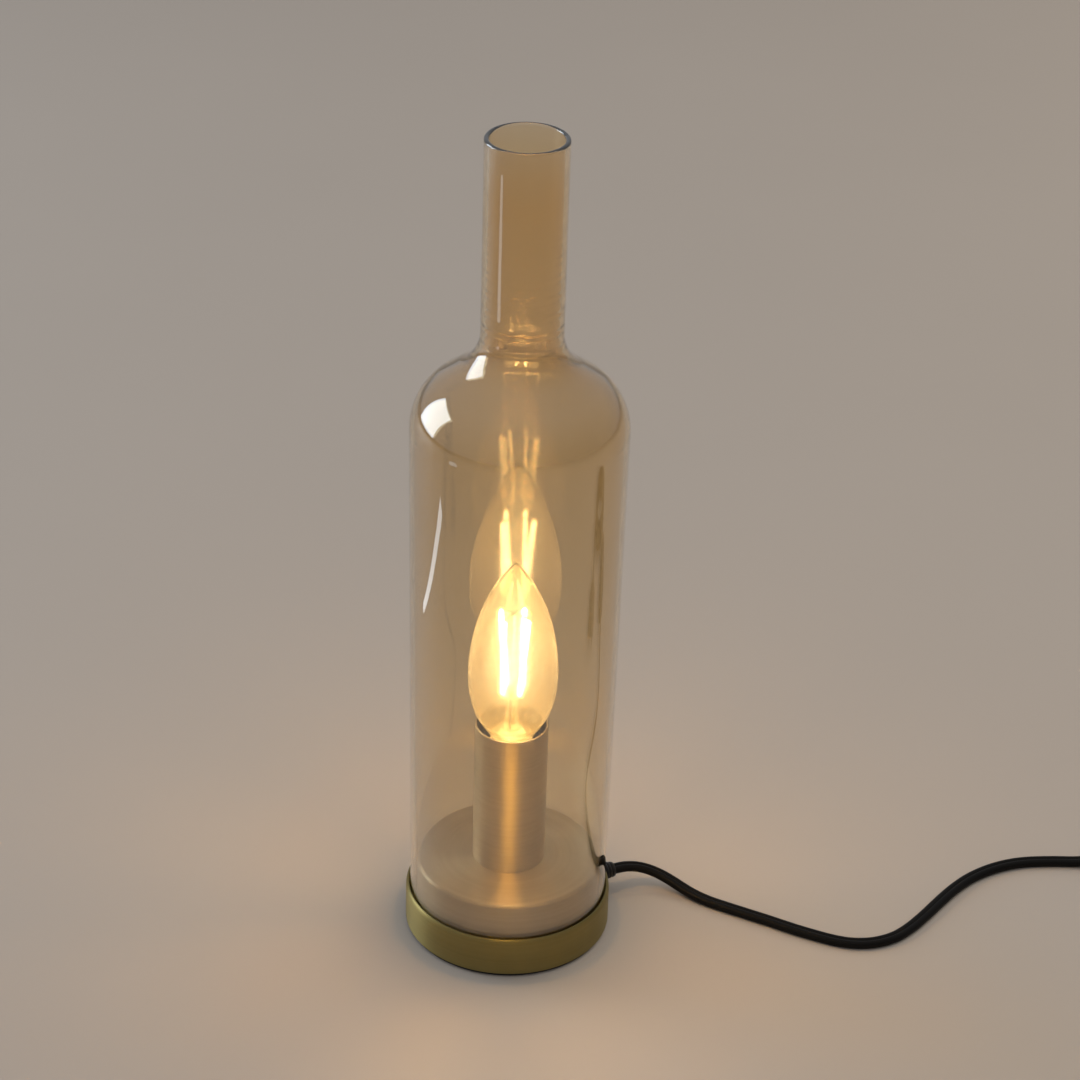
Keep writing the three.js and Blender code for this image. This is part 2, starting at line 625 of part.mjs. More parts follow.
function lampSleeve() {
  return turnedRing([
    [NIPPLE_HOLE_R, PLINTH_TOP_Z],
    [SLEEVE_R, PLINTH_TOP_Z],
    [SLEEVE_R, sleeveTopZ()],
    [SLEEVE_BORE_R, sleeveTopZ()],
    [SLEEVE_BORE_R, SLEEVE_FLOOR_Z],
    [NIPPLE_HOLE_R, SLEEVE_FLOOR_Z],
  ], LARGE_FACETS);
}

function nipple() {
  return flatRing(NIPPLE_BORE_R, NIPPLE_R, NIPPLE_FOOT_Z, NIPPLE_TOP_Z, MIDDLE_FACETS);
}

function washer() {
  return flatRing(NIPPLE_HOLE_R, WASHER_R, WASHER_Z, PLATE_UNDER_Z, MIDDLE_FACETS);
}

function hexNut(lowZ) {
  const corner = NUT_ACROSS_FLATS / Math.sqrt(3);
  const outline = new THREE.Shape(Array.from({ length: 6 }, (_, i) => new THREE.Vector2(
    corner * Math.cos((i * Math.PI) / 3),
    corner * Math.sin((i * Math.PI) / 3),
  )));
  outline.holes.push(new THREE.Path().absarc(0, 0, NIPPLE_HOLE_R, 0, 2 * Math.PI, true));
  const settings = { depth: NUT_T, bevelEnabled: false, curveSegments: SMALL_FACETS };
  return new THREE.ExtrudeGeometry(outline, settings).translate(0, 0, lowZ);
}

// Lower cup of the lamp holder, screwed on the threaded tube
function holderCap() {
  return turnedRing([
    [NIPPLE_HOLE_R, HOLDER_FOOT_Z],
    [HOLDER_R, HOLDER_FOOT_Z],
    [HOLDER_R, HOLDER_SPLIT_Z],
    [SHELL_BORE_R, HOLDER_SPLIT_Z],
    [SHELL_BORE_R, HOLDER_FLOOR_Z],
    [NIPPLE_HOLE_R, HOLDER_FLOOR_Z],
  ], MIDDLE_FACETS);
}

// Upper skirt of the lamp holder, with a spigot inside the cup and a ledge for the core
function holderShell() {
  return turnedRing([
    [SPIGOT_BORE_R, HOLDER_SPLIT_Z - SPIGOT_LENGTH],
    [SPIGOT_R, HOLDER_SPLIT_Z - SPIGOT_LENGTH],
    [SPIGOT_R, HOLDER_SPLIT_Z],
    [HOLDER_R, HOLDER_SPLIT_Z],
    [HOLDER_R, HOLDER_TOP_Z],
    [SHELL_BORE_R, HOLDER_TOP_Z],
    [SHELL_BORE_R, SHELL_LEDGE_Z],
    [SPIGOT_BORE_R, SHELL_LEDGE_Z],
  ], MIDDLE_FACETS);
}

function holderCore() {
  return turned([
    [0, CORE_FOOT_Z],
    [CORE_SHANK_R, CORE_FOOT_Z],
    [CORE_SHANK_R, SHELL_LEDGE_Z],
    [CORE_R, SHELL_LEDGE_Z],
    [CORE_R, CORE_TOP_Z],
    [CORE_BORE_R, CORE_TOP_Z],
    [CORE_BORE_R, CORE_FLOOR_Z],
    [0, CORE_FLOOR_Z],
  ], MIDDLE_FACETS);
}

function screwContact() {
  const lowZ = CORE_TOP_Z - SCREW_CONTACT_LENGTH;
  return flatRing(SCREW_CONTACT_BORE_R, SCREW_CONTACT_R, lowZ, CORE_TOP_Z, MIDDLE_FACETS);
}

// Bent spring tongue under the bulb's tip: a foot on the core's floor and an arm rising to the middle
function centreContact() {
  const half = CENTRE_CONTACT_LENGTH / 2;
  const top = CENTRE_CONTACT_H;
  const t = CENTRE_CONTACT_T;
  const outline = new THREE.Shape([
    new THREE.Vector2(-half, 0),
    new THREE.Vector2(half, 0),
    new THREE.Vector2(half, t),
    new THREE.Vector2(-half + 2 * t, t),
    new THREE.Vector2(-half / 3, top - t),
    new THREE.Vector2(half / 3, top - t),
    new THREE.Vector2(half / 3, top),
    new THREE.Vector2(-half / 3 - t, top),
    new THREE.Vector2(-half, t),
  ]);
  return new THREE.ExtrudeGeometry(outline, { depth: CENTRE_CONTACT_W, bevelEnabled: false })
    .translate(0, 0, -CENTRE_CONTACT_W / 2)
    .rotateX(Math.PI / 2)
    .translate(0, 0, CORE_FLOOR_Z);
}

function wireTerminal() {
  return boxBetween(
    [-TERMINAL_SIZE / 2, -TERMINAL_SIZE / 2, TERMINAL_Z],
    [TERMINAL_SIZE / 2, TERMINAL_SIZE / 2, CORE_FOOT_Z],
  );
}

// Stretch of sheathed cord between the bush and the middle of the base; x runs along the slot
function innerSheath() {
  return tubeAlong([
    [BUSH_TAIL_END - FIT_GAP, 0, SHEATH_Z],
    [clampX(), 0, SHEATH_Z],
    [sheathEnd(), 0, SHEATH_Z],
  ], ovalSection(CORD_WIDTH, CORD_THICKNESS, CORD_SIDES), SHEATH_STEPS);
}

// One of the two wires from the sheath, under and up the threaded tube, to its terminal
function innerWire(side) {
  const underZ = (DISH_FOOT_Z + NIPPLE_FOOT_Z) / 2;
  const near = side * WIRE_SPREAD;
  const route = [
    [sheathEnd() - FIT_GAP, near, SHEATH_Z],
    [sheathEnd() - FIT_GAP - WIRE_R, near, SHEATH_Z],
    [(sheathEnd() + NIPPLE_R) / 2, near, (SHEATH_Z + underZ) / 2],
    [NIPPLE_R, near, underZ],
    [WIRE_R + FIT_GAP, near, (underZ + NIPPLE_FOOT_Z) / 2],
    [0, near, NIPPLE_FOOT_Z + NUT_T],
    [0, near, PLINTH_TOP_Z],
    [0, near, HOLDER_FLOOR_Z],
    [0, side * WIRE_TOP_SPREAD, NIPPLE_TOP_Z],
    [0, side * TERMINAL_SPREAD, TERMINAL_Z - WIRE_R],
    [0, side * TERMINAL_SPREAD, TERMINAL_Z - FIT_GAP],
  ];
  return tubeAlong(route, ovalSection(2 * WIRE_R, 2 * WIRE_R, WIRE_FACETS), INNER_WIRE_STEPS);
}

// Lower curve of the bulb from its neck to its widest place, moved in by a given depth
function bellCurve(depth) {
  const swell = BELL_LOW_SWELL * (BULB_R - BULB_NECK_R);
  return new THREE.CubicBezierCurve(
    new THREE.Vector2(BULB_NECK_R - depth, BULB_NECK_Z),
    new THREE.Vector2(BULB_NECK_R + swell - depth, BULB_NECK_Z + BELL_LOW_RISE * BULB_BELL_HEIGHT),
    new THREE.Vector2(BULB_R - depth, BULB_NECK_Z + BELL_HIGH_RISE * BULB_BELL_HEIGHT),
    new THREE.Vector2(BULB_R - depth, BULB_NECK_Z + BULB_BELL_HEIGHT),
  );
}

// Upper curve of the bulb from its widest place to its tip on the axis
function flameCurve(depth) {
  const widestZ = BULB_NECK_Z + BULB_BELL_HEIGHT;
  return new THREE.CubicBezierCurve(
    new THREE.Vector2(BULB_R - depth, widestZ),
    new THREE.Vector2(BULB_R - depth, widestZ + FLAME_LOW_RISE * BULB_FLAME_HEIGHT),
    new THREE.Vector2(FLAME_HIGH_SWELL * BULB_R - depth, widestZ + FLAME_HIGH_RISE * BULB_FLAME_HEIGHT),
    new THREE.Vector2(0, widestZ + BULB_FLAME_HEIGHT - depth),
  );
}

function bulbEnvelope() {
  const side = (depth) => [
    ...bellCurve(depth).getPoints(BULB_BELL_STEPS),
    ...flameCurve(depth).getPoints(BULB_FLAME_STEPS).slice(1),
  ].map((point) => [point.x, point.y]);
  return turned([...side(BULB_GLASS_T).reverse(), ...side(0)], MIDDLE_FACETS);
}

// Screw cap: a turned shell whose outer wall is then swelled by the thread's helix
function bulbCap() {
  const rootR = CAP_THREAD_R - CAP_THREAD_DEPTH;
  const boreR = rootR - CAP_METAL_T;
  const flareZ = CAP_RIM_Z - CORE_RECESS + FIT_GAP;
  const rows = Array.from({ length: CAP_THREAD_ROWS + 1 }, (_, i) => (
    [rootR, CAP_METAL_Z + ((CAP_THREAD_TOP_Z - CAP_METAL_Z) * i) / CAP_THREAD_ROWS]
  ));
  const geometry = turnedRing([
    ...rows,
    [rootR, flareZ],
    [BULB_NECK_R + FIT_GAP, CAP_RIM_Z],
    [BULB_NECK_R + FIT_GAP - CAP_METAL_T, CAP_RIM_Z],
    [boreR, flareZ],
    [boreR, CAP_METAL_Z],
  ], SMALL_FACETS + WIRE_FACETS);
  const position = geometry.attributes.position;
  for (let i = 0; i < position.count; i += 1) {
    const [x, y, z] = [position.getX(i), position.getY(i), position.getZ(i)];
    const onThread = Math.abs(Math.hypot(x, y) - rootR) < 0.01 && z < CAP_THREAD_TOP_Z;
    if (!onThread) continue;
    const fromEnd = Math.min(z - CAP_METAL_Z, CAP_THREAD_TOP_Z - z);
    const runOut = Math.min(1, fromEnd / CAP_THREAD_PITCH);
    const wave = 0.5 + 0.5 * Math.cos((2 * Math.PI * z) / CAP_THREAD_PITCH - Math.atan2(y, x));
    const radius = rootR + CAP_THREAD_DEPTH * runOut * wave;
    position.setX(i, (x / rootR) * radius);
    position.setY(i, (y / rootR) * radius);
  }
  return geometry;
}

function bulbInsulator() {
  const lowZ = BULB_TIP_Z + CAP_TIP_T;
  const topR = CAP_THREAD_R - CAP_THREAD_DEPTH;
  return turned([[0, lowZ], [CAP_TIP_R, lowZ], [topR, CAP_METAL_Z], [0, CAP_METAL_Z]], MIDDLE_FACETS);
}

function bulbTipContact() {
  const crown = arc(0, BULB_TIP_Z + CAP_TIP_R, CAP_TIP_R, -Math.PI / 2, -Math.PI / 4, EDGE_CURVE_STEPS)
    .filter(([, z]) => z < BULB_TIP_Z + CAP_TIP_T);
  const top = BULB_TIP_Z + CAP_TIP_T;
  return turned([[0, BULB_TIP_Z], ...crown.slice(1), [CAP_TIP_R - FIT_GAP, top], [0, top]], SMALL_FACETS);
}

// Glass stem: a flare that closes the bulb's neck, and a pinched pillar
function bulbStem() {
  const flareR = BULB_NECK_R - BULB_GLASS_T - FIT_GAP;
  const flareTopZ = BULB_NECK_Z + STEM_FLARE_T;
  return turned([
    [0, BULB_NECK_Z],
    [flareR, BULB_NECK_Z],
    [flareR, flareTopZ],
    [STEM_FOOT_R, BULB_NECK_Z + STEM_HEIGHT / 4],
    [STEM_R, BULB_NECK_Z + STEM_HEIGHT / 2],
    [STEM_R, STEM_TOP_Z],
    [0, STEM_TOP_Z],
  ], SMALL_FACETS);
}

// Low and high ends of a filament
function filamentEnds(index) {
  const angle = FILAMENT_START + (2 * Math.PI * index) / FILAMENT_COUNT;
  const at = (radius, turn, z) => new THREE.Vector3(radius * Math.cos(turn), radius * Math.sin(turn), z);
  return {
    low: at(FILAMENT_LOW_R, angle, FILAMENT_Z),
    high: at(FILAMENT_HIGH_R, angle + FILAMENT_TWIST, FILAMENT_Z + FILAMENT_LENGTH),
  };
}

function filament(index) {
  const { low, high } = filamentEnds(index);
  return bar(low, high, FILAMENT_R, WIRE_FACETS);
}

// Post on the stem with an arm over the top of each filament
function filamentFrame() {
  const armZ = FILAMENT_Z + FILAMENT_LENGTH + FIT_GAP + SUPPORT_WIRE_R;
  const hub = new THREE.Vector3(0, 0, armZ);
  const post = bar(hub.clone().setZ(STEM_TOP_Z), hub, SUPPORT_WIRE_R, WIRE_FACETS);
  const arms = Array.from({ length: FILAMENT_COUNT }, (_, i) => (
    bar(hub, filamentEnds(i).high.setZ(armZ), SUPPORT_WIRE_R, WIRE_FACETS)
  ));
  return join(post, ...arms);
}

// Lead wire beside the stem with an arm under two of the filaments
function leadWire(side) {
  const reach = STEM_FOOT_R + FIT_GAP + SUPPORT_WIRE_R;
  const middle = FILAMENT_START + Math.PI * side + Math.PI / FILAMENT_COUNT;
  const armZ = FILAMENT_Z - FIT_GAP - SUPPORT_WIRE_R;
  const footZ = BULB_NECK_Z + STEM_HEIGHT / 4 + FIT_GAP;
  const top = new THREE.Vector3(reach * Math.cos(middle), reach * Math.sin(middle), armZ);
  const upright = bar(top.clone().setZ(footZ), top, SUPPORT_WIRE_R, WIRE_FACETS);
  const arms = [0, 1].map((i) => bar(
    top,
    filamentEnds(side * 2 + i).low.setZ(armZ),
    SUPPORT_WIRE_R,
    WIRE_FACETS,
  ));
  return join(upright, ...arms);
}

// Rectangle with round corners, centred on the origin
function roundedRectangle(length, width, radius) {
  const [x, y] = [length / 2, width / 2];
  const r = Math.min(radius, x, y);
  return new THREE.Shape()
    .absarc(x - r, y - r, r, 0, Math.PI / 2)
    .absarc(-x + r, y - r, r, Math.PI / 2, Math.PI)
    .absarc(-x + r, -y + r, r, Math.PI, 1.5 * Math.PI)
    .absarc(x - r, -y + r, r, 1.5 * Math.PI, 2 * Math.PI);
}

// Whole outside of the switch with softened edges, in its own frame: x along the cord, z up from the table
function switchOutside() {
  const outline = roundedRectangle(
    SWITCH_LENGTH - 2 * SWITCH_EDGE, SWITCH_WIDTH - 2 * SWITCH_EDGE, SWITCH_CORNER_R - SWITCH_EDGE,
  );
  return new THREE.ExtrudeGeometry(outline, {
    depth: SWITCH_HEIGHT - 2 * SWITCH_EDGE,
    bevelEnabled: true,
    bevelSize: SWITCH_EDGE,
    bevelThickness: SWITCH_EDGE,
    bevelSegments: SWITCH_EDGE_STEPS,
    curveSegments: SWITCH_CORNER_STEPS,
  }).translate(0, 0, SWITCH_EDGE);
}

function switchPocket() {
  return boxBetween(
    [-POCKET_LENGTH / 2, -POCKET_WIDTH / 2, SWITCH_WALL],
    [POCKET_LENGTH / 2, POCKET_WIDTH / 2, SWITCH_HEIGHT - SWITCH_WALL],
  );
}

function switchScrewPlaces() {
  const x = (POCKET_LENGTH + SWITCH_END_BLOCK) / 2;
  const seatZ = SWITCH_WALL + SWITCH_SCREW_HEAD_T;
  return [new THREE.Vector3(-x, 0, seatZ), new THREE.Vector3(x, 0, seatZ)];
}

// Holes for the switch's screws, with a wide mouth below for the heads
function switchScrewHoles() {
  const topZ = SWITCH_SPLIT_Z + SWITCH_SCREW_DEPTH + FIT_GAP;
  return switchScrewPlaces().flatMap((seat) => [
    bar(seat.clone().setZ(-CUT_OVERRUN), seat.clone().setZ(topZ), SWITCH_SCREW_R + FIT_GAP, SMALL_FACETS),
    bar(seat.clone().setZ(-CUT_OVERRUN), seat, SWITCH_SCREW_HEAD_R + FIT_GAP, SMALL_FACETS),
  ]);
}

function switchBase() {
  const above = boxBetween(
    [-SWITCH_LENGTH, -SWITCH_WIDTH, SWITCH_SPLIT_Z - SWITCH_SPLIT_GAP / 2],
    [SWITCH_LENGTH, SWITCH_WIDTH, 2 * SWITCH_HEIGHT],
  );
  return cut(switchOutside(), above, switchPocket(), ...switchScrewHoles());
}

function switchCover() {
  const below = boxBetween(
    [-SWITCH_LENGTH, -SWITCH_WIDTH, -SWITCH_HEIGHT],
    [SWITCH_LENGTH, SWITCH_WIDTH, SWITCH_SPLIT_Z + SWITCH_SPLIT_GAP / 2],
  );
  const swing = ROCKER_END_RISE * Math.sin(ROCKER_TILT);
  const window = boxBetween(
    [-ROCKER_LENGTH / 2 - swing - ROCKER_SIDE_GAP, -ROCKER_WIDTH / 2 - ROCKER_SIDE_GAP, SWITCH_SPLIT_Z],
    [ROCKER_LENGTH / 2 + swing + ROCKER_SIDE_GAP, ROCKER_WIDTH / 2 + ROCKER_SIDE_GAP, 2 * SWITCH_HEIGHT],
  );
  return cut(switchOutside(), below, switchPocket(), window, ...switchScrewHoles());
}

// Rocker in its own frame, pivot at the origin, with a hole for its pin
function switchRocker() {
  const half = ROCKER_LENGTH / 2;
  const outline = new THREE.Shape([
    new THREE.Vector2(-half, ROCKER_END_RISE),
    new THREE.Vector2(-half, 0),
    new THREE.Vector2(0, -ROCKER_BELLY),
    new THREE.Vector2(half, 0),
    new THREE.Vector2(half, ROCKER_END_RISE),
    new THREE.Vector2(half / 2, (ROCKER_END_RISE + 3 * ROCKER_MIDDLE_RISE) / 4),
    new THREE.Vector2(0, ROCKER_MIDDLE_RISE),
    new THREE.Vector2(-half / 2, (ROCKER_END_RISE + 3 * ROCKER_MIDDLE_RISE) / 4),
  ]);
  outline.holes.push(new THREE.Path().absarc(0, 0, ROCKER_PIN_R + FIT_GAP, 0, 2 * Math.PI, true));
  const settings = { depth: ROCKER_WIDTH, bevelEnabled: false, curveSegments: SMALL_FACETS };
  return new THREE.ExtrudeGeometry(outline, settings)
    .translate(0, 0, -ROCKER_WIDTH / 2)
    .rotateX(Math.PI / 2);
}

function rockerPin() {
  const reach = ROCKER_WIDTH / 2 + ROCKER_PIN_REACH;
  const near = new THREE.Vector3(0, -reach, ROCKER_PIN_Z);
  const far = new THREE.Vector3(0, reach, ROCKER_PIN_Z);
  return bar(near, far, ROCKER_PIN_R, SMALL_FACETS);
}

// Bent strip on the pocket's floor with an upright end towards the middle
function switchTerminal(side) {
  const far = POCKET_LENGTH / 2 - FIT_GAP;
  const near = far - SWITCH_TERMINAL_LENGTH;
  const t = SWITCH_TERMINAL_T;
  const foot = boxBetween(
    [near, -SWITCH_TERMINAL_W / 2, SWITCH_WALL],
    [far, SWITCH_TERMINAL_W / 2, SWITCH_WALL + t],
  );
  const upright = boxBetween(
    [near, -SWITCH_TERMINAL_W / 2, SWITCH_WALL],
    [near + t, SWITCH_TERMINAL_W / 2, SWITCH_WALL + SWITCH_TERMINAL_RISE],
  );
  const strip = join(foot, upright);
  return side > 0 ? strip : strip.rotateZ(Math.PI);
}

// Eases from 0 to 1 with level ends
function ease(share) {
  return (1 - Math.cos(Math.PI * share)) / 2;
}

// Straight run that changes height between two level ends, each a cord's width long
function levelRun(start, end, steps) {
  const length = Math.abs(end[0] - start[0]);
  return Array.from({ length: steps }, (_, i) => {
    const share = i / steps;
    const bend = (share * length - CORD_WIDTH) / (length - 2 * CORD_WIDTH);
    const lift = ease(Math.min(1, Math.max(0, bend)));
    return [
      start[0] + (end[0] - start[0]) * share,
      start[1] + (end[1] - start[1]) * share,
      start[2] + (end[2] - start[2]) * lift,
    ];
  });
}

// Centre line of the coil: in from the switch, layers that spiral in and out by turns, out to the plug
function coilLine() {
  const loops = [];
  let angle = Math.PI / 2;
  const step = (2 * Math.PI) / COIL_STEPS_PER_TURN;
  const place = (radius, z) => {
    loops.push([COIL_X + radius * Math.cos(angle), COIL_Y + radius * Math.sin(angle), z]);
    angle -= step;
  };
  const layerSteps = COIL_TURNS_PER_LAYER * COIL_STEPS_PER_TURN;
  const climbSteps = COIL_STEPS_PER_TURN / 2;
  for (let layer = 0; layer < COIL_LAYERS; layer += 1) {
    const z = COIL_LOW_Z + layer * COIL_LAYER_PITCH;
    const inwards = layer % 2 === 0;
    const [fromR, toR] = inwards ? [COIL_OUTER_R, COIL_INNER_R] : [COIL_INNER_R, COIL_OUTER_R];
    for (let i = 0; i < layerSteps; i += 1) place(fromR + ((toR - fromR) * i) / layerSteps, z);
    if (layer === COIL_LAYERS - 1) break;
    for (let i = 0; i < climbSteps; i += 1) place(toR, z + COIL_LAYER_PITCH * ease(i / climbSteps));
  }
  const topZ = COIL_LOW_Z + (COIL_LAYERS - 1) * COIL_LAYER_PITCH;
  const start = [SWITCH_X + SWITCH_LENGTH + FIT_GAP, SWITCH_Y, SWITCH_SPLIT_Z];
  const leave = [COIL_X, COIL_Y - COIL_OUTER_R, topZ];
  const end = [PLUG_X + FIT_GAP, COIL_Y - COIL_OUTER_R, PLUG_THICKNESS / 2];
  return [
    ...levelRun(start, loops[0], COIL_RUN_STEPS),
    ...loops,
    ...levelRun(leave, end, COIL_RUN_STEPS),
    end,
  ];
}

// Six-sided rings of the flat cord across its line, kept level
function coilRings(line) {
  const section = [
    [-0.5, 0], [-0.25, 0.5], [0.25, 0.5], [0.5, 0], [0.25, -0.5], [-0.25, -0.5],
  ].map(([across, up]) => [across * CORD_WIDTH, up * CORD_THICKNESS]);
  return line.map((point, i) => {
    const before = new THREE.Vector3(...line[Math.max(0, i - 1)]);
    const after = new THREE.Vector3(...line[Math.min(line.length - 1, i + 1)]);
    const along = after.sub(before).normalize();
    const across = new THREE.Vector3(along.y, -along.x, 0).normalize();
    const up = new THREE.Vector3().crossVectors(across, along);
    return section.map(([a, u]) => (
      new THREE.Vector3(...point).addScaledVector(across, a).addScaledVector(up, u)
    ));
  });
}

// Least gap between turns, measured between points of the rings and of their sides' middles
function leastGap(rings) {
  const dense = rings.map((ring) => ring.flatMap((point, i) => (
    [point, point.clone().lerp(ring[(i + 1) % ring.length], 0.5)]
  )));
  let least = Infinity;
  for (let i = 0; i < dense.length; i += 1) {
    for (let j = i + COIL_STEPS_PER_TURN / 2; j < dense.length; j += 1) {
      if (rings[i][0].distanceTo(rings[j][0]) > 3 * CORD_WIDTH) continue;
      for (const a of dense[i]) {
        for (const b of dense[j]) least = Math.min(least, a.distanceTo(b));
      }
    }
  }
  return least;
}

function cordCoil(rings) {
  const sides = rings[0].length;
  const faces = [];
  for (let i = 0; i + 1 < rings.length; i += 1) {
    for (let k = 0; k < sides; k += 1) {
      const [a, b] = [i * sides + k, i * sides + ((k + 1) % sides)];
      faces.push(a, b, b + sides, a, b + sides, a + sides);
    }
  }
  const last = (rings.length - 1) * sides;
  for (let k = 1; k + 1 < sides; k += 1) {
    faces.push(0, k + 1, k);
    faces.push(last, last + k, last + k + 1);
  }
  const geometry = new THREE.BufferGeometry();
  const places = rings.flat().flatMap((point) => [point.x, point.y, point.z]);
  geometry.setAttribute('position', new THREE.Float32BufferAttribute(places, 3));
  geometry.setIndex(faces);
  geometry.computeVertexNormals();
  return geometry;
}

// Flat band round all the turns on the coil's far side
function coilTie(rings) {
  const near = rings.flat().filter((point) => (
    Math.abs(point.y - COIL_Y) < TIE_WIDTH && point.x > COIL_X
  ));
  const lowX = Math.min(...near.map((point) => point.x)) - TIE_GAP;
  const highX = Math.max(...near.map((point) => point.x)) + TIE_GAP;
  const highZ = Math.max(...near.map((point) => point.z)) + TIE_GAP;
  const half = TIE_WIDTH / 2;
  const outside = boxBetween([lowX - TIE_T, COIL_Y - half, 0], [highX + TIE_T, COIL_Y + half, highZ + TIE_T]);
  const inside = boxBetween([lowX, COIL_Y - TIE_WIDTH, TIE_T], [highX, COIL_Y + TIE_WIDTH, highZ]);
  return cut(outside, inside);
}

// Flat plug with a tapered relief; x runs from the cord to the pins, the origin is where the cord enters
function plugBody() {
  const tail = PLUG_RELIEF_LENGTH;
  const front = PLUG_RELIEF_LENGTH + PLUG_LENGTH;
  const [wide, narrow] = [PLUG_WIDTH / 2 - PLUG_EDGE, PLUG_TAIL_WIDTH / 2 - PLUG_EDGE];
  const outline = new THREE.Shape([
    new THREE.Vector2(tail + PLUG_EDGE, -narrow),
    new THREE.Vector2(tail + PLUG_SHOULDER, -wide),
    new THREE.Vector2(front - PLUG_EDGE, -wide),
    new THREE.Vector2(front - PLUG_EDGE, wide),
    new THREE.Vector2(tail + PLUG_SHOULDER, wide),
    new THREE.Vector2(tail + PLUG_EDGE, narrow),
  ]);
  const block = new THREE.ExtrudeGeometry(outline, {
    depth: PLUG_THICKNESS - 2 * PLUG_EDGE,
    bevelEnabled: true,
    bevelSize: PLUG_EDGE,
    bevelThickness: PLUG_EDGE,
    bevelSegments: PLUG_EDGE_STEPS,
  }).translate(0, 0, PLUG_EDGE);
  const relief = turned([
    [0, 0],
    [PLUG_RELIEF_TIP_R, 0],
    [PLUG_RELIEF_R, tail],
    [PLUG_RELIEF_R, tail + PLUG_RELIEF_SINK],
    [0, tail + PLUG_RELIEF_SINK],
  ], SMALL_FACETS).rotateY(Math.PI / 2).translate(0, 0, PLUG_THICKNESS / 2);
  return join(block, relief);
}

// Round pin with a blunt point, standing on the plug's front face
function plugPin(side) {
  const foot = PLUG_RELIEF_LENGTH + PLUG_LENGTH;
  const tip = foot + PLUG_PIN_LENGTH;
  return turned([
    [0, foot],
    [PLUG_PIN_R, foot],
    [PLUG_PIN_R, tip - PLUG_PIN_R / 2],
    [PLUG_PIN_R / 2, tip],
    [0, tip],
  ], SMALL_FACETS).rotateY(Math.PI / 2).translate(0, side * PLUG_PIN_SPREAD, PLUG_THICKNESS / 2);
}

// Base, with the pieces along the cord's slot in a group turned to the cord's way out
addPart('foot_pad', footPad(), 'blackRubber');
addPart('base_dish', baseDish(), 'dishBrass');
addPart('glass_seat_ring', glassSeat(), 'blackRubber');
const slotGroup = new THREE.Group();
slotGroup.rotation.z = BUSH_ANGLE;
lamp.add(slotGroup);
addPart('ballast_weight', ballast(), 'castIron', slotGroup);
addPart('cord_bush', cordBush().translate(0, 0, BUSH_Z), 'blackPlastic', slotGroup);
addPart('cord_clamp', cordClamp(), 'blackPlastic', slotGroup);
clampScrewPlaces().forEach(({ x, y }, i) => {
  const fastener = screw(CLAMP_SCREW_R, CLAMP_SCREW_HEAD_R, CLAMP_SCREW_HEAD_T, CLAMP_SCREW_LENGTH);
  addPart(`clamp_screw_${i + 1}`, fastener, 'zincSteel', slotGroup).position.set(x, y, CLAMP_Z);
});
addPart('inner_cord_sheath', innerSheath(), 'cordPlastic', slotGroup);
addPart('wire_brown', innerWire(1), 'brownWire', slotGroup);
addPart('wire_blue', innerWire(-1), 'blueWire', slotGroup);
addPart('terminal_brown', wireTerminal().translate(0, TERMINAL_SPREAD, 0), 'plainBrass', slotGroup);
addPart('terminal_blue', wireTerminal().translate(0, -TERMINAL_SPREAD, 0), 'plainBrass', slotGroup);

// Plinth, sleeve and the threaded tube that clamps them
addPart('plinth_drum', plinthDrum(), 'champagne');
addPart('lamp_sleeve', lampSleeve(), 'champagne');
addPart('threaded_nipple', nipple(), 'zincSteel');
addPart('lower_nut', hexNut(LOWER_NUT_Z), 'zincSteel');
addPart('lower_washer', washer(), 'zincSteel');
addPart('sleeve_nut', hexNut(SLEEVE_FLOOR_Z), 'zincSteel');

// Lamp holder
addPart('holder_cap', holderCap(), 'blackPlastic');
addPart('holder_shell', holderShell(), 'blackPlastic');
addPart('holder_core', holderCore(), 'whiteCeramic');
addPart('screw_contact', screwContact(), 'plainBrass');
addPart('centre_contact', centreContact(), 'plainBrass');

// Bulb
addPart('bulb_envelope', bulbEnvelope(), 'clearGlass');
addPart('bulb_cap', bulbCap(), 'nickelWire');
addPart('bulb_insulator', bulbInsulator(), 'blackPlastic');
addPart('bulb_tip_contact', bulbTipContact(), 'nickelWire');
addPart('bulb_stem', bulbStem(), 'clearGlass');
for (let i = 0; i < FILAMENT_COUNT; i += 1) addPart(`filament_${i + 1}`, filament(i), 'litFilament');
addPart('filament_frame', filamentFrame(), 'nickelWire');
addPart('lead_wire_1', leadWire(0), 'nickelWire');
addPart('lead_wire_2', leadWire(1), 'nickelWire');

// Glass bottle
addPart('glass_bottle', glassBottle(), 'amberGlass');
addPart('glass_neck', glassNeck(), 'amberGlass');

// Cord to the switch, and the switch
const cordSection = ovalSection(CORD_WIDTH, CORD_THICKNESS, CORD_SIDES);
addPart('cord_lead', tubeAlong(LEAD_POINTS, cordSection, LEAD_STEPS), 'cordPlastic');
const switchGroup = new THREE.Group();
switchGroup.position.set(SWITCH_X + SWITCH_LENGTH / 2, SWITCH_Y, 0);
lamp.add(switchGroup);
addPart('switch_base', switchBase(), 'blackPlastic', switchGroup);
addPart('switch_cover', switchCover(), 'blackPlastic', switchGroup);
const rocker = addPart('switch_rocker', switchRocker(), 'blackPlastic', switchGroup);
rocker.position.z = ROCKER_PIN_Z;
rocker.rotation.y = ROCKER_TILT;
addPart('rocker_pin', rockerPin(), 'zincSteel', switchGroup);
switchScrewPlaces().forEach((seat, i) => {
  const length = SWITCH_SPLIT_Z + SWITCH_SCREW_DEPTH - seat.z;
  const fastener = screw(SWITCH_SCREW_R, SWITCH_SCREW_HEAD_R, SWITCH_SCREW_HEAD_T, length);
  addPart(`switch_screw_${i + 1}`, fastener, 'zincSteel', switchGroup).position.copy(seat);
});
addPart('switch_terminal_1', switchTerminal(1), 'plainBrass', switchGroup);
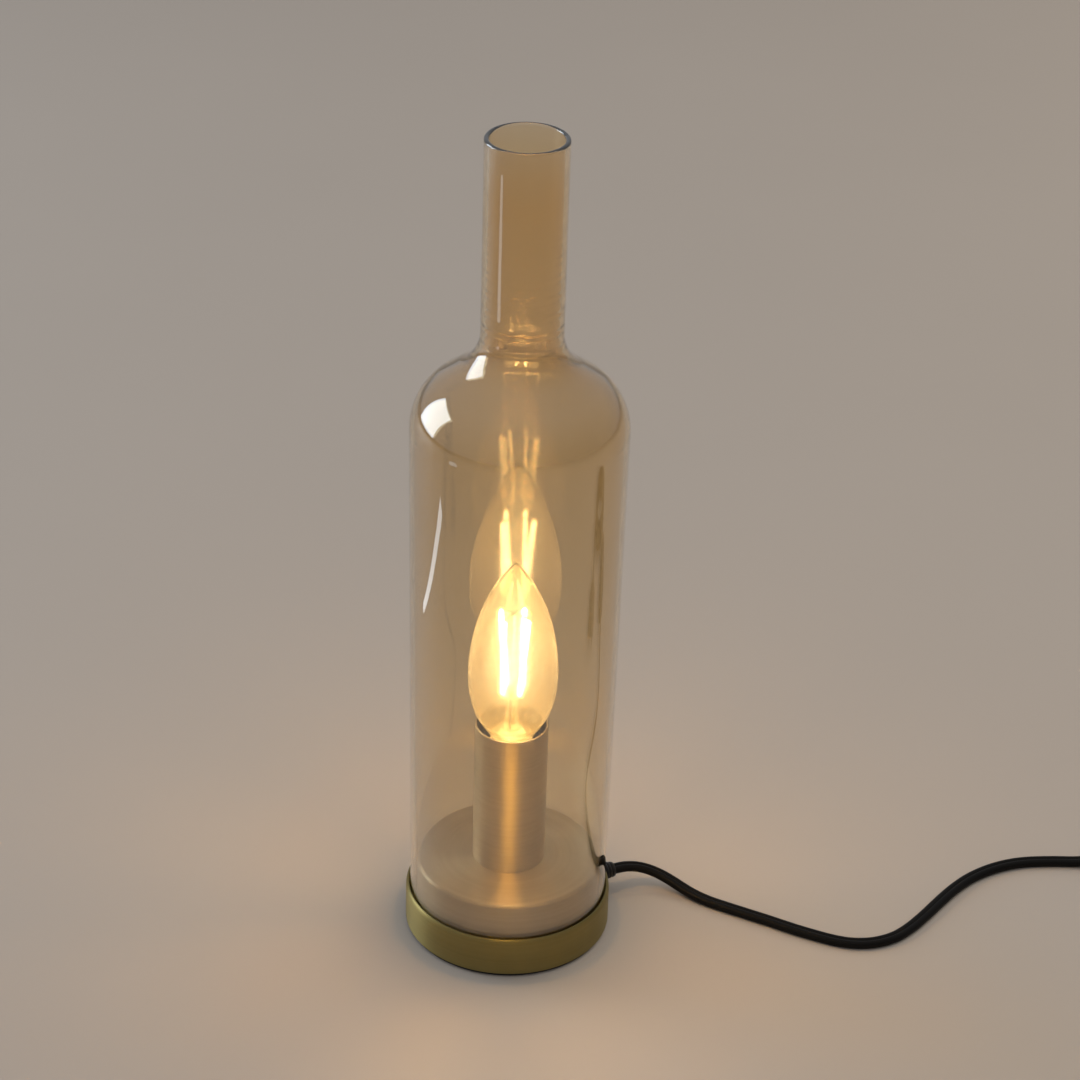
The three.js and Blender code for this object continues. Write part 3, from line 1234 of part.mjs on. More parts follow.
addPart('switch_terminal_2', switchTerminal(-1), 'plainBrass', switchGroup);

// Coil, tie and plug
const rings = coilRings(coilLine());
const gap = leastGap(rings);
console.log(`least gap between the coil's turns: ${gap.toFixed(2)} mm, wanted over ${COIL_LEAST_GAP} mm`);
addPart('cord_coil', cordCoil(rings), 'cordPlastic');
addPart('coil_tie', coilTie(rings), 'blackRubber');
const plugGroup = new THREE.Group();
plugGroup.position.set(PLUG_X, COIL_Y - COIL_OUTER_R, 0);
plugGroup.rotation.z = Math.PI;
lamp.add(plugGroup);
addPart('plug_body', plugBody(), 'blackPlastic', plugGroup);
addPart('plug_pin_1', plugPin(1), 'nickelWire', plugGroup);
addPart('plug_pin_2', plugPin(-1), 'nickelWire', plugGroup);

export default lamp;
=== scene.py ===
import json
import math

import bmesh
import bpy
from bpy.props import FloatProperty, FloatVectorProperty, IntProperty, PointerProperty
from bpy.types import Operator, Panel, PropertyGroup
from mathutils import Matrix, Vector

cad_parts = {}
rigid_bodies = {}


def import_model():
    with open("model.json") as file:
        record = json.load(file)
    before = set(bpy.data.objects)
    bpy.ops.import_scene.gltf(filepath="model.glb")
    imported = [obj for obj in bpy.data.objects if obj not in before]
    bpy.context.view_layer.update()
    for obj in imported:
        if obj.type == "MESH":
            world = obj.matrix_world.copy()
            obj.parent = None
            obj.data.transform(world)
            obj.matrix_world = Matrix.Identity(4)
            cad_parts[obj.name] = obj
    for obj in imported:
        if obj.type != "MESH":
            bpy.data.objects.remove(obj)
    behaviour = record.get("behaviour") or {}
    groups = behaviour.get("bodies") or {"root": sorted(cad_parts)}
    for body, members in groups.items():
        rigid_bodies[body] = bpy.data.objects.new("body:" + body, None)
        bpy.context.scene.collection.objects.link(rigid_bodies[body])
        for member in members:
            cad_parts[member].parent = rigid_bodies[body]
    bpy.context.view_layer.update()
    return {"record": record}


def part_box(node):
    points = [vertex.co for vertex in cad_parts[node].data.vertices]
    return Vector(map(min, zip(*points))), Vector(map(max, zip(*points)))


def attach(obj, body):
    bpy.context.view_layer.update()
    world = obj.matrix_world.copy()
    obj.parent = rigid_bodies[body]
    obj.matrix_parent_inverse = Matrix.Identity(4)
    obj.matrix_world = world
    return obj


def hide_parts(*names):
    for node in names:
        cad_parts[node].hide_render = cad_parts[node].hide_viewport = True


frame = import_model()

bl_info = {
    "name": "Bottle Table Lamp",
    "version": (1, 0, 0),
    "blender": (4, 5, 0),
    "location": "3D View > Sidebar > Bottle Lamp",
    "description": "Dresses the frame of a glass bottle lamp with finished pieces",
    "category": "Object",
}

# Sharp turns in a piece stay sharp beyond this angle, and beyond the second one in a round or curved piece
SMOOTH_ANGLE = math.radians(32)
SOFT_ANGLE = math.radians(50)
FULL_TURN = 2 * math.pi
# Points closer than this are one point
MERGE_DISTANCE = 0.00001
# An edge runs along an axis beyond this share, and a line below this share of level has no level side
ALONG_AXIS = 0.99
STEEP = 0.05
# Axes of a block
SIDEWAYS, UPRIGHT = 1, 2
# Gap between a piece and its neighbour, as in the frame
FIT_GAP = 0.0003

# Pieces of the frame that the one glass bottle stands for
BOTTLE_NODES = ["glass_bottle", "glass_neck"]
# Brightness of the lit filaments, and of the painted glow in the bulb's glass that stands in for the glare
# round them
FILAMENT_STRENGTH = 3000.0
PAINTED_GLOW_STRENGTH = 0.25
# Refraction of the thin lustre on the bottle, which makes its reflections stronger than plain glass has
LUSTRE_IOR = 1.8
GLASS_IOR = 1.5
# Soft light that comes through the bottle and through the bulb
AMBER_LIGHT = (0.97, 0.91, 0.76)
BULB_LIGHT = (0.285, 0.255, 0.222)
# Length over which the bottle's tint fades at its lip
LIP_FADE = 0.022

# Kinds of socket of a node group, and the places of a colour mix's sockets
FLOAT = "NodeSocketFloat"
VECTOR = "NodeSocketVector"
MIX_SHARE, MIX_FIRST, MIX_SECOND, MIX_RESULT = 0, 6, 7, 2
# Values between which nearly all of a noise lies
NOISE_LOW, NOISE_HIGH = 0.3, 0.7
# Turned metal: the scale of its patches, how much finer its changes of gloss are, and how far lines darken it
PATCH_SCALE = 35.0
GLOSS_SCALE = 2.3
LINE_SHARE = 0.22

# Rings left in the blown glass: their depth, how far they reach above and below the foot of the neck, the
# spacing of their two waves, and the steps of the straight neck that carry them
RIPPLE_DEPTH = 0.00003
RIPPLE_UP = 0.06
RIPPLE_DOWN = 0.022
RIPPLE_LONG = 0.0036
RIPPLE_SHORT = 0.0024
RIPPLE_STEPS = 240

# Radius of the bulb's neck and height of its lower bell
BULB_NECK = 0.0082
BULB_BELL = 0.0279
# Angle of the first filament round the bulb, the twist of each, and the radius of the wires that carry them
FILAMENT_ANGLE = math.radians(35)
FILAMENT_TWIST = math.radians(20)
FRAME_WIRE = 0.0004
# Radius of the insulated wires in the base
WIRE_RADIUS = 0.001

# Bush of the cord: its direction, the reach of its tip, the radius of its tail and of its hole in the dish
BUSH_ANGLE = math.radians(25)
BUSH_TIP = 0.0475
BUSH_TAIL = 0.003
BUSH_HOLE = 0.0029
# Radius of the hole for the rocker's pin
ROCKER_PIN = 0.0012
# Thickness of the lamp holder's floor, and of the coil's tie with its gap to the cord
HOLDER_FLOOR = 0.003
TIE_BAND = 0.0008
TIE_GAP = 0.00035

# Route of the cord from the bush to the switch: distance along X and Y from the bush's tip, and height
LEAD_OFFSETS = [
    (0.0003, 0.0001, 0.0095),
    (0.0049, 0.0021, 0.0093),
    (0.0098, 0.0032, 0.0086),
    (0.0148, 0.0031, 0.0074),
    (0.0196, 0.0019, 0.0059),
    (0.0241, -0.0003, 0.0045),
    (0.0283, -0.0031, 0.0033),
    (0.0324, -0.0059, 0.0024),
    (0.0388, -0.0098, 0.0018),
    (0.0478, -0.0144, 0.0017),
    (0.0614, -0.0211, 0.0017),
    (0.0759, -0.0285, 0.0017),
    (0.0904, -0.0343, 0.0017),
    (0.0978, -0.0353, 0.0017),
    (0.1051, -0.0343, 0.0017),
    (0.1128, -0.0307, 0.0017),
    (0.1194, -0.0247, 0.0017),
    (0.1267, -0.0158, 0.0017),
    (0.1340, -0.0058, 0.0017),
    (0.1412, 0.0034, 0.0017),
    (0.1485, 0.0109, 0.0017),
    (0.1568, 0.0169, 0.0017),
    (0.1650, 0.0209, 0.0017),
    (0.1728, 0.0231, 0.0017),
    (0.1839, 0.0242, 0.0017),
    (0.1950, 0.0243, 0.0019),
    (0.2030, 0.0243, 0.0032),
    (0.2110, 0.0243, 0.0057),
    (0.2190, 0.0243, 0.0080),
    (0.2247, 0.0243, 0.0085),
]


def low_of(node):
    """Lowest corner of a node of the frame."""
    return Vector(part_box(node)[0])


def high_of(node):
    """Highest corner of a node of the frame."""
    return Vector(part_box(node)[1])


def ends_of(node):
    """Lowest and highest corner of a node of the frame."""
    return low_of(node), high_of(node)


def middle_of(node):
    """Middle of a node of the frame."""
    return (low_of(node) + high_of(node)) / 2


def length_property(name, description, default):
    """A length that the user may change."""
    return FloatProperty(name=name, description=description, default=default, unit="LENGTH", precision=4)


def colour_property(name, description, default):
    """A colour that the user may change."""
    return FloatVectorProperty(
        name=name, description=description, default=default, subtype="COLOR", size=3, min=0.0, max=1.0
    )


class LampSizes(PropertyGroup):
    """Sizes of the lamp's pieces."""

    glass_wall: length_property("Glass Wall", "Thickness of the bottle's glass", 0.002)
    glass_radius: length_property("Shoulder Radius", "Widest radius of the bottle", high_of("glass_bottle").x)
    glass_taper: length_property("Taper", "How much narrower the bottle is at its foot", 0.0019)
    glass_body: length_property("Body Length", "Height of the bottle from foot to shoulder", 0.207)
    shoulder_curve: length_property("Shoulder Curve", "Radius of the shoulder's outer curve", 0.0237)
    neck_hollow: length_property("Neck Hollow", "Radius of the hollow under the neck", 0.018)
    neck_radius: length_property("Neck Radius", "Radius of the neck", 0.0154)
    neck_length: length_property("Neck Length", "Length of the straight neck", 0.075)
    shoulder_slope: FloatProperty(
        name="Shoulder Slope", description="Slope between the two shoulder curves", default=math.radians(55),
        subtype="ANGLE",
    )
    dish_wall: length_property("Dish Wall", "Thickness of the dish's wall", 0.0013)
    dish_round: length_property("Dish Rim", "Width of the dish's rounded rim", 0.001)
    dish_roll: length_property("Dish Roll", "Height of the dish's rounded rim", 0.0024)
    plinth_wall: length_property("Plinth Wall", "Thickness of the plinth's skirt", 0.0012)
    plinth_edge: length_property("Plinth Edge", "Radius of the plinth's rounded edge", 0.0014)
    sleeve_wall: length_property("Sleeve Wall", "Thickness of the sleeve", 0.001)
    bulb_wall: length_property("Bulb Glass", "Thickness of the bulb's glass", 0.0008)
    filament_radius: length_property("Filament Radius", "Radius of one filament", 0.0009)
    cord_width: length_property("Cord Width", "Width of the flat cord", 0.0052)
    cord_thickness: length_property("Cord Thickness", "Thickness of the flat cord", 0.0032)
    turn_steps: IntProperty(
        name="Turning Steps", description="Steps of a full turn on round pieces", default=144
    )


class LampColours(PropertyGroup):
    """Colours of the lamp's finishes."""

    amber_foot: colour_property("Amber Foot", "Tint of the bottle at its foot", (0.99, 0.94, 0.80))
    amber_body: colour_property("Amber Body", "Tint of the bottle beside the bulb", (0.93, 0.80, 0.57))
    amber_neck: colour_property("Amber Neck", "Tint of the bottle at its neck", (0.97, 0.76, 0.44))
    amber_lip: colour_property("Amber Lip", "Tint of the bottle at its lip", (0.98, 0.85, 0.64))
    amber_edge: colour_property("Amber Edge", "Deeper tint of the bottle seen edge on", (0.55, 0.42, 0.25))
    bulb: colour_property("Bulb Glass", "Tint of the bulb", (0.99, 0.95, 0.85))
    # Painted glow: the golden colour that the bulb's glass gives off, standing in for the glare round the lit
    # filaments
    halo: colour_property("Bulb Halo", "Golden light held in the bulb's glass", (1.0, 0.60, 0.18))
    brass: colour_property("Dish Brass", "Satin brass of the dish", (0.37, 0.295, 0.112))
    champagne: colour_property("Champagne", "Brushed metal of the plinth and sleeve", (0.44, 0.385, 0.32))
    glow: colour_property("Glow", "Colour of the lit filaments", (1.0, 0.80, 0.48))
    black: colour_property("Black", "Black of the cord, switch and plug", (0.0045, 0.0042, 0.004))
    floor: colour_property("Floor", "Plain pale floor", (0.43, 0.385, 0.345))


def sizes():
    """The lamp's sizes in the open file."""
    return bpy.context.scene.bottle_lamp_sizes


def colours():
    """The lamp's colours in the open file."""
    return bpy.context.scene.bottle_lamp_colours


# Modelling helpers


def set_mode(mode):
    """Go to edit mode or back to object mode."""
    bpy.ops.object.mode_set(mode=mode)


def select_all():
    """Select the whole mesh in edit mode."""
    bpy.ops.mesh.select_all(action="SELECT")


def start_clean():
    """Leave edit mode and select nothing."""
    if bpy.context.object and bpy.context.object.mode != "OBJECT":
        set_mode("OBJECT")
    bpy.ops.object.select_all(action="DESELECT")


def make_active(piece):
    """Select one piece alone."""
    start_clean()
    piece.select_set(True)
    bpy.context.view_layer.objects.active = piece


def arc(centre_x, centre_y, radius, start, end, steps):
    """Points of an arc in a section's plane."""
    return [
        (
            centre_x + radius * math.cos(start + (end - start) * i / steps),
            centre_y + radius * math.sin(start + (end - start) * i / steps),
        )
        for i in range(steps + 1)
    ]


def polar(radius, angle, z=0.0):
    """Point at a distance and an angle from the Z axis."""
    return Vector((radius * math.cos(angle), radius * math.sin(angle), z))


def bezier(p0, p1, p2, p3, steps):
    """Points of a cubic curve in a section's plane."""
    points = []
    for i in range(steps + 1):
        t = i / steps
        s = 1 - t
        points.append(tuple(
            s**3 * a + 3 * s * s * t * b + 3 * s * t * t * c + t**3 * d for a, b, c, d in zip(p0, p1, p2, p3)
        ))
    return points


def divided(start, end, steps):
    """Even points from start up to, and without, end."""
    return [tuple(a + (b - a) * i / steps for a, b in zip(start, end)) for i in range(steps)]


def ease(share):
    """Ease from 0 to 1 with level ends."""
    return (1 - math.cos(math.pi * min(1.0, max(0.0, share)))) / 2


def draw_chain(points):
    """Start from a plane, shrink it to a point and extrude that along points in the XZ plane."""
    start_clean()
    bpy.ops.mesh.primitive_plane_add(size=0.001)
    piece = bpy.context.object
    set_mode("EDIT")
    bpy.ops.mesh.select_mode(type="VERT")
    bpy.ops.mesh.merge(type="CENTER")
    bpy.ops.transform.translate(value=(points[0][0], 0, points[0][1]))
    for (x0, z0), (x1, z1) in zip(points, points[1:]):
        bpy.ops.mesh.extrude_region_move(TRANSFORM_OT_translate={"value": (x1 - x0, 0, z1 - z0)})
    select_all()
    bpy.ops.mesh.remove_doubles(threshold=MERGE_DISTANCE)
    return piece


def turn(profile, steps, closed=True):
    """Spin a section of (radius, height) points about Z."""
    piece = draw_chain(profile + profile[:1] if closed else profile)
    bpy.ops.mesh.spin(steps=steps, angle=FULL_TURN, center=(0, 0, 0), axis=(0, 0, 1))
    select_all()
    bpy.ops.mesh.remove_doubles(threshold=MERGE_DISTANCE)
    bpy.ops.mesh.normals_make_consistent(inside=False)
    set_mode("OBJECT")
    return piece


def extrude_outline(outline, depth):
    """Fill an outline in the XZ plane and extrude it evenly to both sides along Y."""
    piece = draw_chain(outline + outline[:1])
    bpy.ops.mesh.edge_face_add()
    bpy.ops.transform.translate(value=(0, -depth / 2, 0))
    bpy.ops.mesh.extrude_region_move(TRANSFORM_OT_translate={"value": (0, depth, 0)})
    select_all()
    bpy.ops.mesh.normals_make_consistent(inside=False)
    set_mode("OBJECT")
    return piece


def bevel_edges(piece, radius, segments, test):
    """Bevel the edges whose two ends pass a test."""
    make_active(piece)
    set_mode("EDIT")
    bpy.ops.mesh.select_mode(type="EDGE")
    bpy.ops.mesh.select_all(action="DESELECT")
    shape = bmesh.from_edit_mesh(piece.data)
    for edge in shape.edges:
        edge.select_set(test(edge.verts[0].co, edge.verts[1].co))
    bmesh.update_edit_mesh(piece.data)
    bpy.ops.mesh.bevel(offset=radius, segments=segments, affect="EDGES")
    set_mode("OBJECT")


def block(low, high):
    """A cube set to two corners."""
    start_clean()
    bpy.ops.mesh.primitive_cube_add(size=1)
    piece = bpy.context.object
    set_mode("EDIT")
    bpy.ops.transform.resize(value=[b - a for a, b in zip(low, high)])
    bpy.ops.transform.translate(value=[(a + b) / 2 for a, b in zip(low, high)])
    set_mode("OBJECT")
    return piece


def round_corners(piece, radius, segments, axis):
    """Bevel the edges of a block that run along an axis."""
    bevel_edges(piece, radius, segments, lambda a, b: abs((b - a).normalized()[axis]) > ALONG_AXIS)


def soften_level(piece, z, radius, segments):
    """Bevel the edges that lie at one height."""
    bevel_edges(piece, radius, segments, lambda a, b: max(abs(a.z - z), abs(b.z - z)) < MERGE_DISTANCE)


def apply_modifier(piece, modifier):
    """Apply one modifier of a piece."""
    make_active(piece)
    bpy.ops.object.modifier_apply(modifier=modifier.name)


def soften(piece, width, segments, angle=30):
    """Round all the sharp edges of a piece."""
    bevel = piece.modifiers.new("Soft Edges", "BEVEL")
    bevel.width = width
    bevel.segments = segments
    bevel.limit_method = "ANGLE"
    bevel.angle_limit = math.radians(angle)
    apply_modifier(piece, bevel)


def combine(piece, tool, operation="DIFFERENCE"):
    """Cut a piece with a tool, or join the tool to it, and remove the tool."""
    cut = piece.modifiers.new("Cut", "BOOLEAN")
    cut.operation = operation
    cut.solver = "EXACT"
    cut.object = tool
    apply_modifier(piece, cut)
    bpy.data.objects.remove(tool)


def rod_tool(start, end, radius, vertices=40):
    """A plain rod between two points, used to cut holes."""
    start_clean()
    along = Vector(end) - Vector(start)
    bpy.ops.mesh.primitive_cylinder_add(
        vertices=vertices, radius=radius, depth=along.length, location=(Vector(start) + Vector(end)) / 2,
        rotation=along.to_track_quat("Z", "Y").to_euler(),
    )
    return bpy.context.object


def set_place(piece, place):
    """Move a piece by a matrix and put the move in its mesh."""
    piece.matrix_world = place
    make_active(piece)
    bpy.ops.object.transform_apply()


def settle(piece, name, slot, *nodes, body="base", angle=SMOOTH_ANGLE):
    """Name, shade and dress a finished piece, and tie it to the frame in place of its nodes."""
    make_active(piece)
    bpy.ops.object.transform_apply()
    bpy.ops.object.shade_smooth_by_angle(angle=angle)
    even = piece.modifiers.new("Even Normals", "WEIGHTED_NORMAL")
    even.keep_sharp = True
    apply_modifier(piece, even)
    piece.name = name
    piece.data.name = name
    piece.data.materials.clear()
    piece.data.materials.append(finish(slot))
    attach(piece, body)
    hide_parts(*nodes)


def smooth_line(points, step):
    """Points about a step apart on a centripetal curve through the given points."""
    ends = [Vector(p) for p in points]
    ends = [2 * ends[0] - ends[1]] + ends + [2 * ends[-1] - ends[-2]]
    line = []
    for p0, p1, p2, p3 in zip(ends, ends[1:], ends[2:], ends[3:]):
        d0, d1, d2 = [max(math.sqrt((b - a).length), 1e-4) for a, b in ((p0, p1), (p1, p2), (p2, p3))]
        t1 = ((p1 - p0) / d0 - (p2 - p0) / (d0 + d1) + (p2 - p1) / d1) * d1
        t2 = ((p2 - p1) / d1 - (p3 - p1) / (d1 + d2) + (p3 - p2) / d2) * d1
        count = max(1, round((p2 - p1).length / step))
        for i in range(count):
            t = i / count
            line.append(
                p1 + t1 * t + (3 * (p2 - p1) - 2 * t1 - t2) * t * t + (2 * (p1 - p2) + t1 + t2) * t**3
            )
    line.append(ends[-2])
    return line


def twin_section(width, thickness, steps):
    """Outline of a flat twin cord: two round cores with a groove between them."""
    radius = thickness / 2
    spread = width / 2 - radius
    reach = math.acos(-spread / radius)
    right = arc(spread, 0, radius, -reach, reach, steps)
    left = [(-x, -y) for x, y in right]
    return right[:-1] + left[:-1]


def round_section(radius, steps):
    """Outline of a round wire."""
    return arc(0, 0, radius, 0, FULL_TURN, steps)[:-1]


def sweep(line, section):
    """A closed tube with its section kept level along a line; U runs round it and V along it in metres."""
    start_clean()
    mesh = bpy.data.meshes.new("tube")
    shape = bmesh.new()
    uv = shape.loops.layers.uv.new("UVMap")
    rings = []
    gone = [0.0]
    across = Vector((0, 1, 0))
    for i, point in enumerate(line):
        along = (line[min(i + 1, len(line) - 1)] - line[max(i - 1, 0)]).normalized()
        level = along.cross(Vector((0, 0, 1)))
        if level.length > STEEP:
            across = level.normalized()
        else:
            across = (across - along * across.dot(along)).normalized()
        up = across.cross(along)
        rings.append([shape.verts.new(point + across * x + up * y) for x, y in section])
        if i:
            gone.append(gone[-1] + (point - line[i - 1]).length)
    count = len(section)
    for i in range(len(rings) - 1):
        for k in range(count):
            n = (k + 1) % count
            face = shape.faces.new((rings[i][k], rings[i][n], rings[i + 1][n], rings[i + 1][k]))
            places = ((k, i), (k + 1, i), (k + 1, i + 1), (k, i + 1))
            for loop, (u, v) in zip(face.loops, places):
                loop[uv].uv = (u / count, gone[v])
    shape.faces.new(list(reversed(rings[0])))
    shape.faces.new(rings[-1])
    bmesh.ops.recalc_face_normals(shape, faces=shape.faces)
    shape.to_mesh(mesh)
    shape.free()
    piece = bpy.data.objects.new("tube", mesh)
    bpy.context.collection.objects.link(piece)
    return piece


# Node helpers


def feed(tree, node, values):
    """Set a node's inputs: an output is linked to its input, and anything else is the input's own value."""
    for key, value in values.items():
        if isinstance(value, bpy.types.NodeSocket):
            tree.links.new(value, node.inputs[key])
        else:
            node.inputs[key].default_value = value


def add_node(tree, kind, values=None, **settings):
    """A node with its settings and its inputs."""
    node = tree.nodes.new(kind)
    for key, value in settings.items():
        setattr(node, key, value)
    feed(tree, node, values or {})
    return node


def calculate(tree, operation, first, second):
    """Output of a sum on two values."""
    return add_node(tree, "ShaderNodeMath", {0: first, 1: second}, operation=operation).outputs["Value"]


def blended(tree, share, first, second, blend="MIX"):
    """Output of two colours, given or linked, mixed by a share."""
    pair = [part if isinstance(part, bpy.types.NodeSocket) else (*part, 1) for part in (first, second)]
    values = {MIX_SHARE: share, MIX_FIRST: pair[0], MIX_SECOND: pair[1]}
    return add_node(tree, "ShaderNodeMix", values, data_type="RGBA", blend_type=blend).outputs[MIX_RESULT]


def shared_group(name, inputs, outputs, build):
    """A shader group by name, built on first use; inputs map a name to (type, default)."""
    if name in bpy.data.node_groups:
        return bpy.data.node_groups[name]
    group = bpy.data.node_groups.new(name, "ShaderNodeTree")
    for label, (kind, default) in inputs.items():
        group.interface.new_socket(label, in_out="INPUT", socket_type=kind).default_value = default
    for label in outputs:
        group.interface.new_socket(label, in_out="OUTPUT", socket_type=FLOAT)
    source, result = group.nodes.new("NodeGroupInput"), group.nodes.new("NodeGroupOutput")
    place = add_node(group, "ShaderNodeTexCoord").outputs["Object"]
    feed(group, result, build(group, source.outputs, place))
    return group


def use_group(tree, group, values):
    """Outputs of a group placed in a material with its own values."""
    return add_node(tree, "ShaderNodeGroup", values, node_tree=group).outputs


def build_patches(group, given, place):
    """Soft patches between a low and a high value."""
    mapping = add_node(group, "ShaderNodeMapping", {"Vector": place, "Scale": given["Stretch"]})
    noise = add_node(group, "ShaderNodeTexNoise", {
        "Vector": mapping.outputs["Vector"], "Scale": given["Scale"], "Detail": 4.0, "Roughness": 0.55,
    })
    spread = add_node(group, "ShaderNodeMapRange", {
        "Value": noise.outputs["Fac"], "From Min": NOISE_LOW, "From Max": NOISE_HIGH,
        "To Min": given["Low"], "To Max": given["High"],
    })
    return {"Tone": spread.outputs["Result"]}


def patchy(tree, scale, low=0.0, high=1.0, stretch=(1, 1, 1)):
    """Output of soft patches over a surface, between a low and a high value."""
    inputs = {
        "Scale": (FLOAT, 60.0), "Stretch": (VECTOR, (1, 1, 1)), "Low": (FLOAT, 0.0), "High": (FLOAT, 1.0),
    }
    group = shared_group("Cloudy Tone", inputs, ["Tone"], build_patches)
    values = {"Scale": scale, "Stretch": stretch, "Low": low, "High": high}
    return use_group(tree, group, values)["Tone"]


def build_lines(group, given, place):
    """Fine rings left by turning and brushing about the Z axis."""
    x, y, z = add_node(group, "ShaderNodeSeparateXYZ", {"Vector": place}).outputs
    flat = add_node(group, "ShaderNodeCombineXYZ", {"X": x, "Y": y}).outputs["Vector"]
    reach = add_node(group, "ShaderNodeVectorMath", {0: flat}, operation="LENGTH").outputs["Value"]
    angle = calculate(group, "ARCTAN2", y, x)
    wound = add_node(group, "ShaderNodeCombineXYZ", {
        "X": calculate(group, "MULTIPLY", reach, given["Density"]),
        "Y": calculate(group, "MULTIPLY", angle, given["Drift"]),
        "Z": calculate(group, "MULTIPLY", z, given["Density"]),
    }).outputs["Vector"]
    fine, coarse = [
        add_node(group, "ShaderNodeTexNoise", {
            "Vector": wound, "Scale": scale, "Detail": 2.0, "Roughness": rough,
        }).outputs["Fac"]
        for scale, rough in ((1.0, 0.6), (0.12, 0.5))
    ]
    return {"Height": fine, "Tone": coarse}


def build_grain(group, given, place):
    """Small even pits of moulded, cast or pressed surfaces."""
    pits = add_node(
        group, "ShaderNodeTexVoronoi", {"Vector": place, "Scale": given["Scale"]}, feature="SMOOTH_F1"
    ).outputs["Distance"]
    noise = add_node(
        group, "ShaderNodeTexNoise", {"Vector": place, "Scale": 900.0, "Detail": 3.0}
    ).outputs["Fac"]
    return {"Height": calculate(group, "MULTIPLY", pits, noise), "Tone": noise}


def new_material(name):
    """A material with a bare Principled shader."""
    material = bpy.data.materials.new(name)
    material.use_nodes = True
    return material, material.node_tree, material.node_tree.nodes["Principled BSDF"]


def shade(colour, share):
    """A colour made lighter or darker."""
    return tuple(min(1.0, part * share) for part in colour)


def shades(tree, mask, colour, dark, light):
    """Output of a colour that goes from darker to lighter by a mask."""
    return blended(tree, mask, shade(colour, dark), shade(colour, light))


def bump(tree, height, strength, distance):
    """Normals of a surface raised by a height output."""
    values = {"Strength": strength, "Distance": distance, "Height": height}
    return add_node(tree, "ShaderNodeBump", values).outputs["Normal"]


def mix_surfaces(tree, share, shader, other):
    """Show another shader in place of a material's own by a share."""
    values = {0: share, 1: shader.outputs["BSDF"], 2: other.outputs["BSDF"]}
    mix = add_node(tree, "ShaderNodeMixShader", values)
    feed(tree, tree.nodes["Material Output"], {"Surface": mix.outputs["Shader"]})


def turned_metal(name, colour, rough_low, rough_high, density, line_strength, brushed=0.0):
    """Satin metal with turning lines and soft patches; brushing stretches its highlights across the lines."""
    material, tree, shader = new_material(name)
    if brushed:
        around = add_node(tree, "ShaderNodeTangent", direction_type="RADIAL", axis="Z")
        feed(tree, shader, {
            "Anisotropic": brushed, "Anisotropic Rotation": 0.25, "Tangent": around.outputs["Tangent"],
        })
    inputs = {"Density": (FLOAT, 9000.0), "Drift": (FLOAT, 1.5)}
    group = shared_group("Turned Lines", inputs, ["Height", "Tone"], build_lines)
    lines = use_group(tree, group, {"Density": density})
    tone = shades(tree, patchy(tree, PATCH_SCALE), colour, 0.93, 1.06)
    feed(tree, shader, {
        "Metallic": 1.0, "Base Color": blended(tree, LINE_SHARE, tone, lines["Tone"], "MULTIPLY"),
        "Roughness": patchy(tree, PATCH_SCALE * GLOSS_SCALE, rough_low, rough_high),
        "Normal": bump(tree, lines["Height"], line_strength, 0.00002),
    })
    return material


def moulded(name, colour, rough_low, rough_high, grain_scale, grain_strength):
    """Plastic, rubber, ceramic or cast metal with a fine grain and soft patches."""
    material, tree, shader = new_material(name)
    group = shared_group("Fine Grain", {"Scale": (FLOAT, 2500.0)}, ["Height", "Tone"], build_grain)
    grain = use_group(tree, group, {"Scale": grain_scale})
    feed(tree, shader, {
        "Base Color": shades(tree, patchy(tree, 45.0), colour, 0.82, 1.2),
        "Roughness": patchy(tree, 110.0, rough_low, rough_high),
        "Normal": bump(tree, grain["Height"], grain_strength, 0.00004),
    })
    return material


def colours_by_height(tree, stops):
    """Output of a colour that changes with height through (height, colour) stops."""
    low, high = stops[0][0], stops[-1][0]
    place = add_node(tree, "ShaderNodeTexCoord").outputs["Object"]
    height = add_node(tree, "ShaderNodeSeparateXYZ", {"Vector": place}).outputs["Z"]
    share = add_node(tree, "ShaderNodeMapRange", {"Value": height, "From Min": low, "From Max": high})
    ramp = add_node(tree, "ShaderNodeValToRGB", {"Fac": share.outputs["Result"]})
    marks = ramp.color_ramp.elements
    marks[0].color = (*stops[0][1], 1)
    marks[1].color = (*stops[-1][1], 1)
    for stop, colour in stops[1:-1]:
        marks.new((stop - low) / (high - low)).color = (*colour, 1)
    return ramp.outputs["Color"]


def clear_glass(name, stops, wave_scale, wave_strength, shadow):
    """Glass with a faint wave in its surface that lets soft light through to what stands behind it."""
    material, tree, shader = new_material(name)
    tone = blended(tree, 1.0, colours_by_height(tree, stops), patchy(tree, 14.0, 0.97), "MULTIPLY")
    wave = patchy(tree, wave_scale, stretch=(1, 1, 0.35))
    feed(tree, shader, {
        "Transmission Weight": 1.0, "IOR": GLASS_IOR, "Roughness": 0.0, "Base Color": tone,
        "Normal": bump(tree, wave, wave_strength, 0.0004),
    })
    path = add_node(tree, "ShaderNodeLightPath").outputs
    soft = calculate(tree, "MAXIMUM", path["Is Shadow Ray"], path["Is Diffuse Ray"])
    through = add_node(tree, "ShaderNodeBsdfTransparent", {"Color": (*shadow, 1)})
    mix_surfaces(tree, soft, shader, through)
    return material, tree, shader, tone


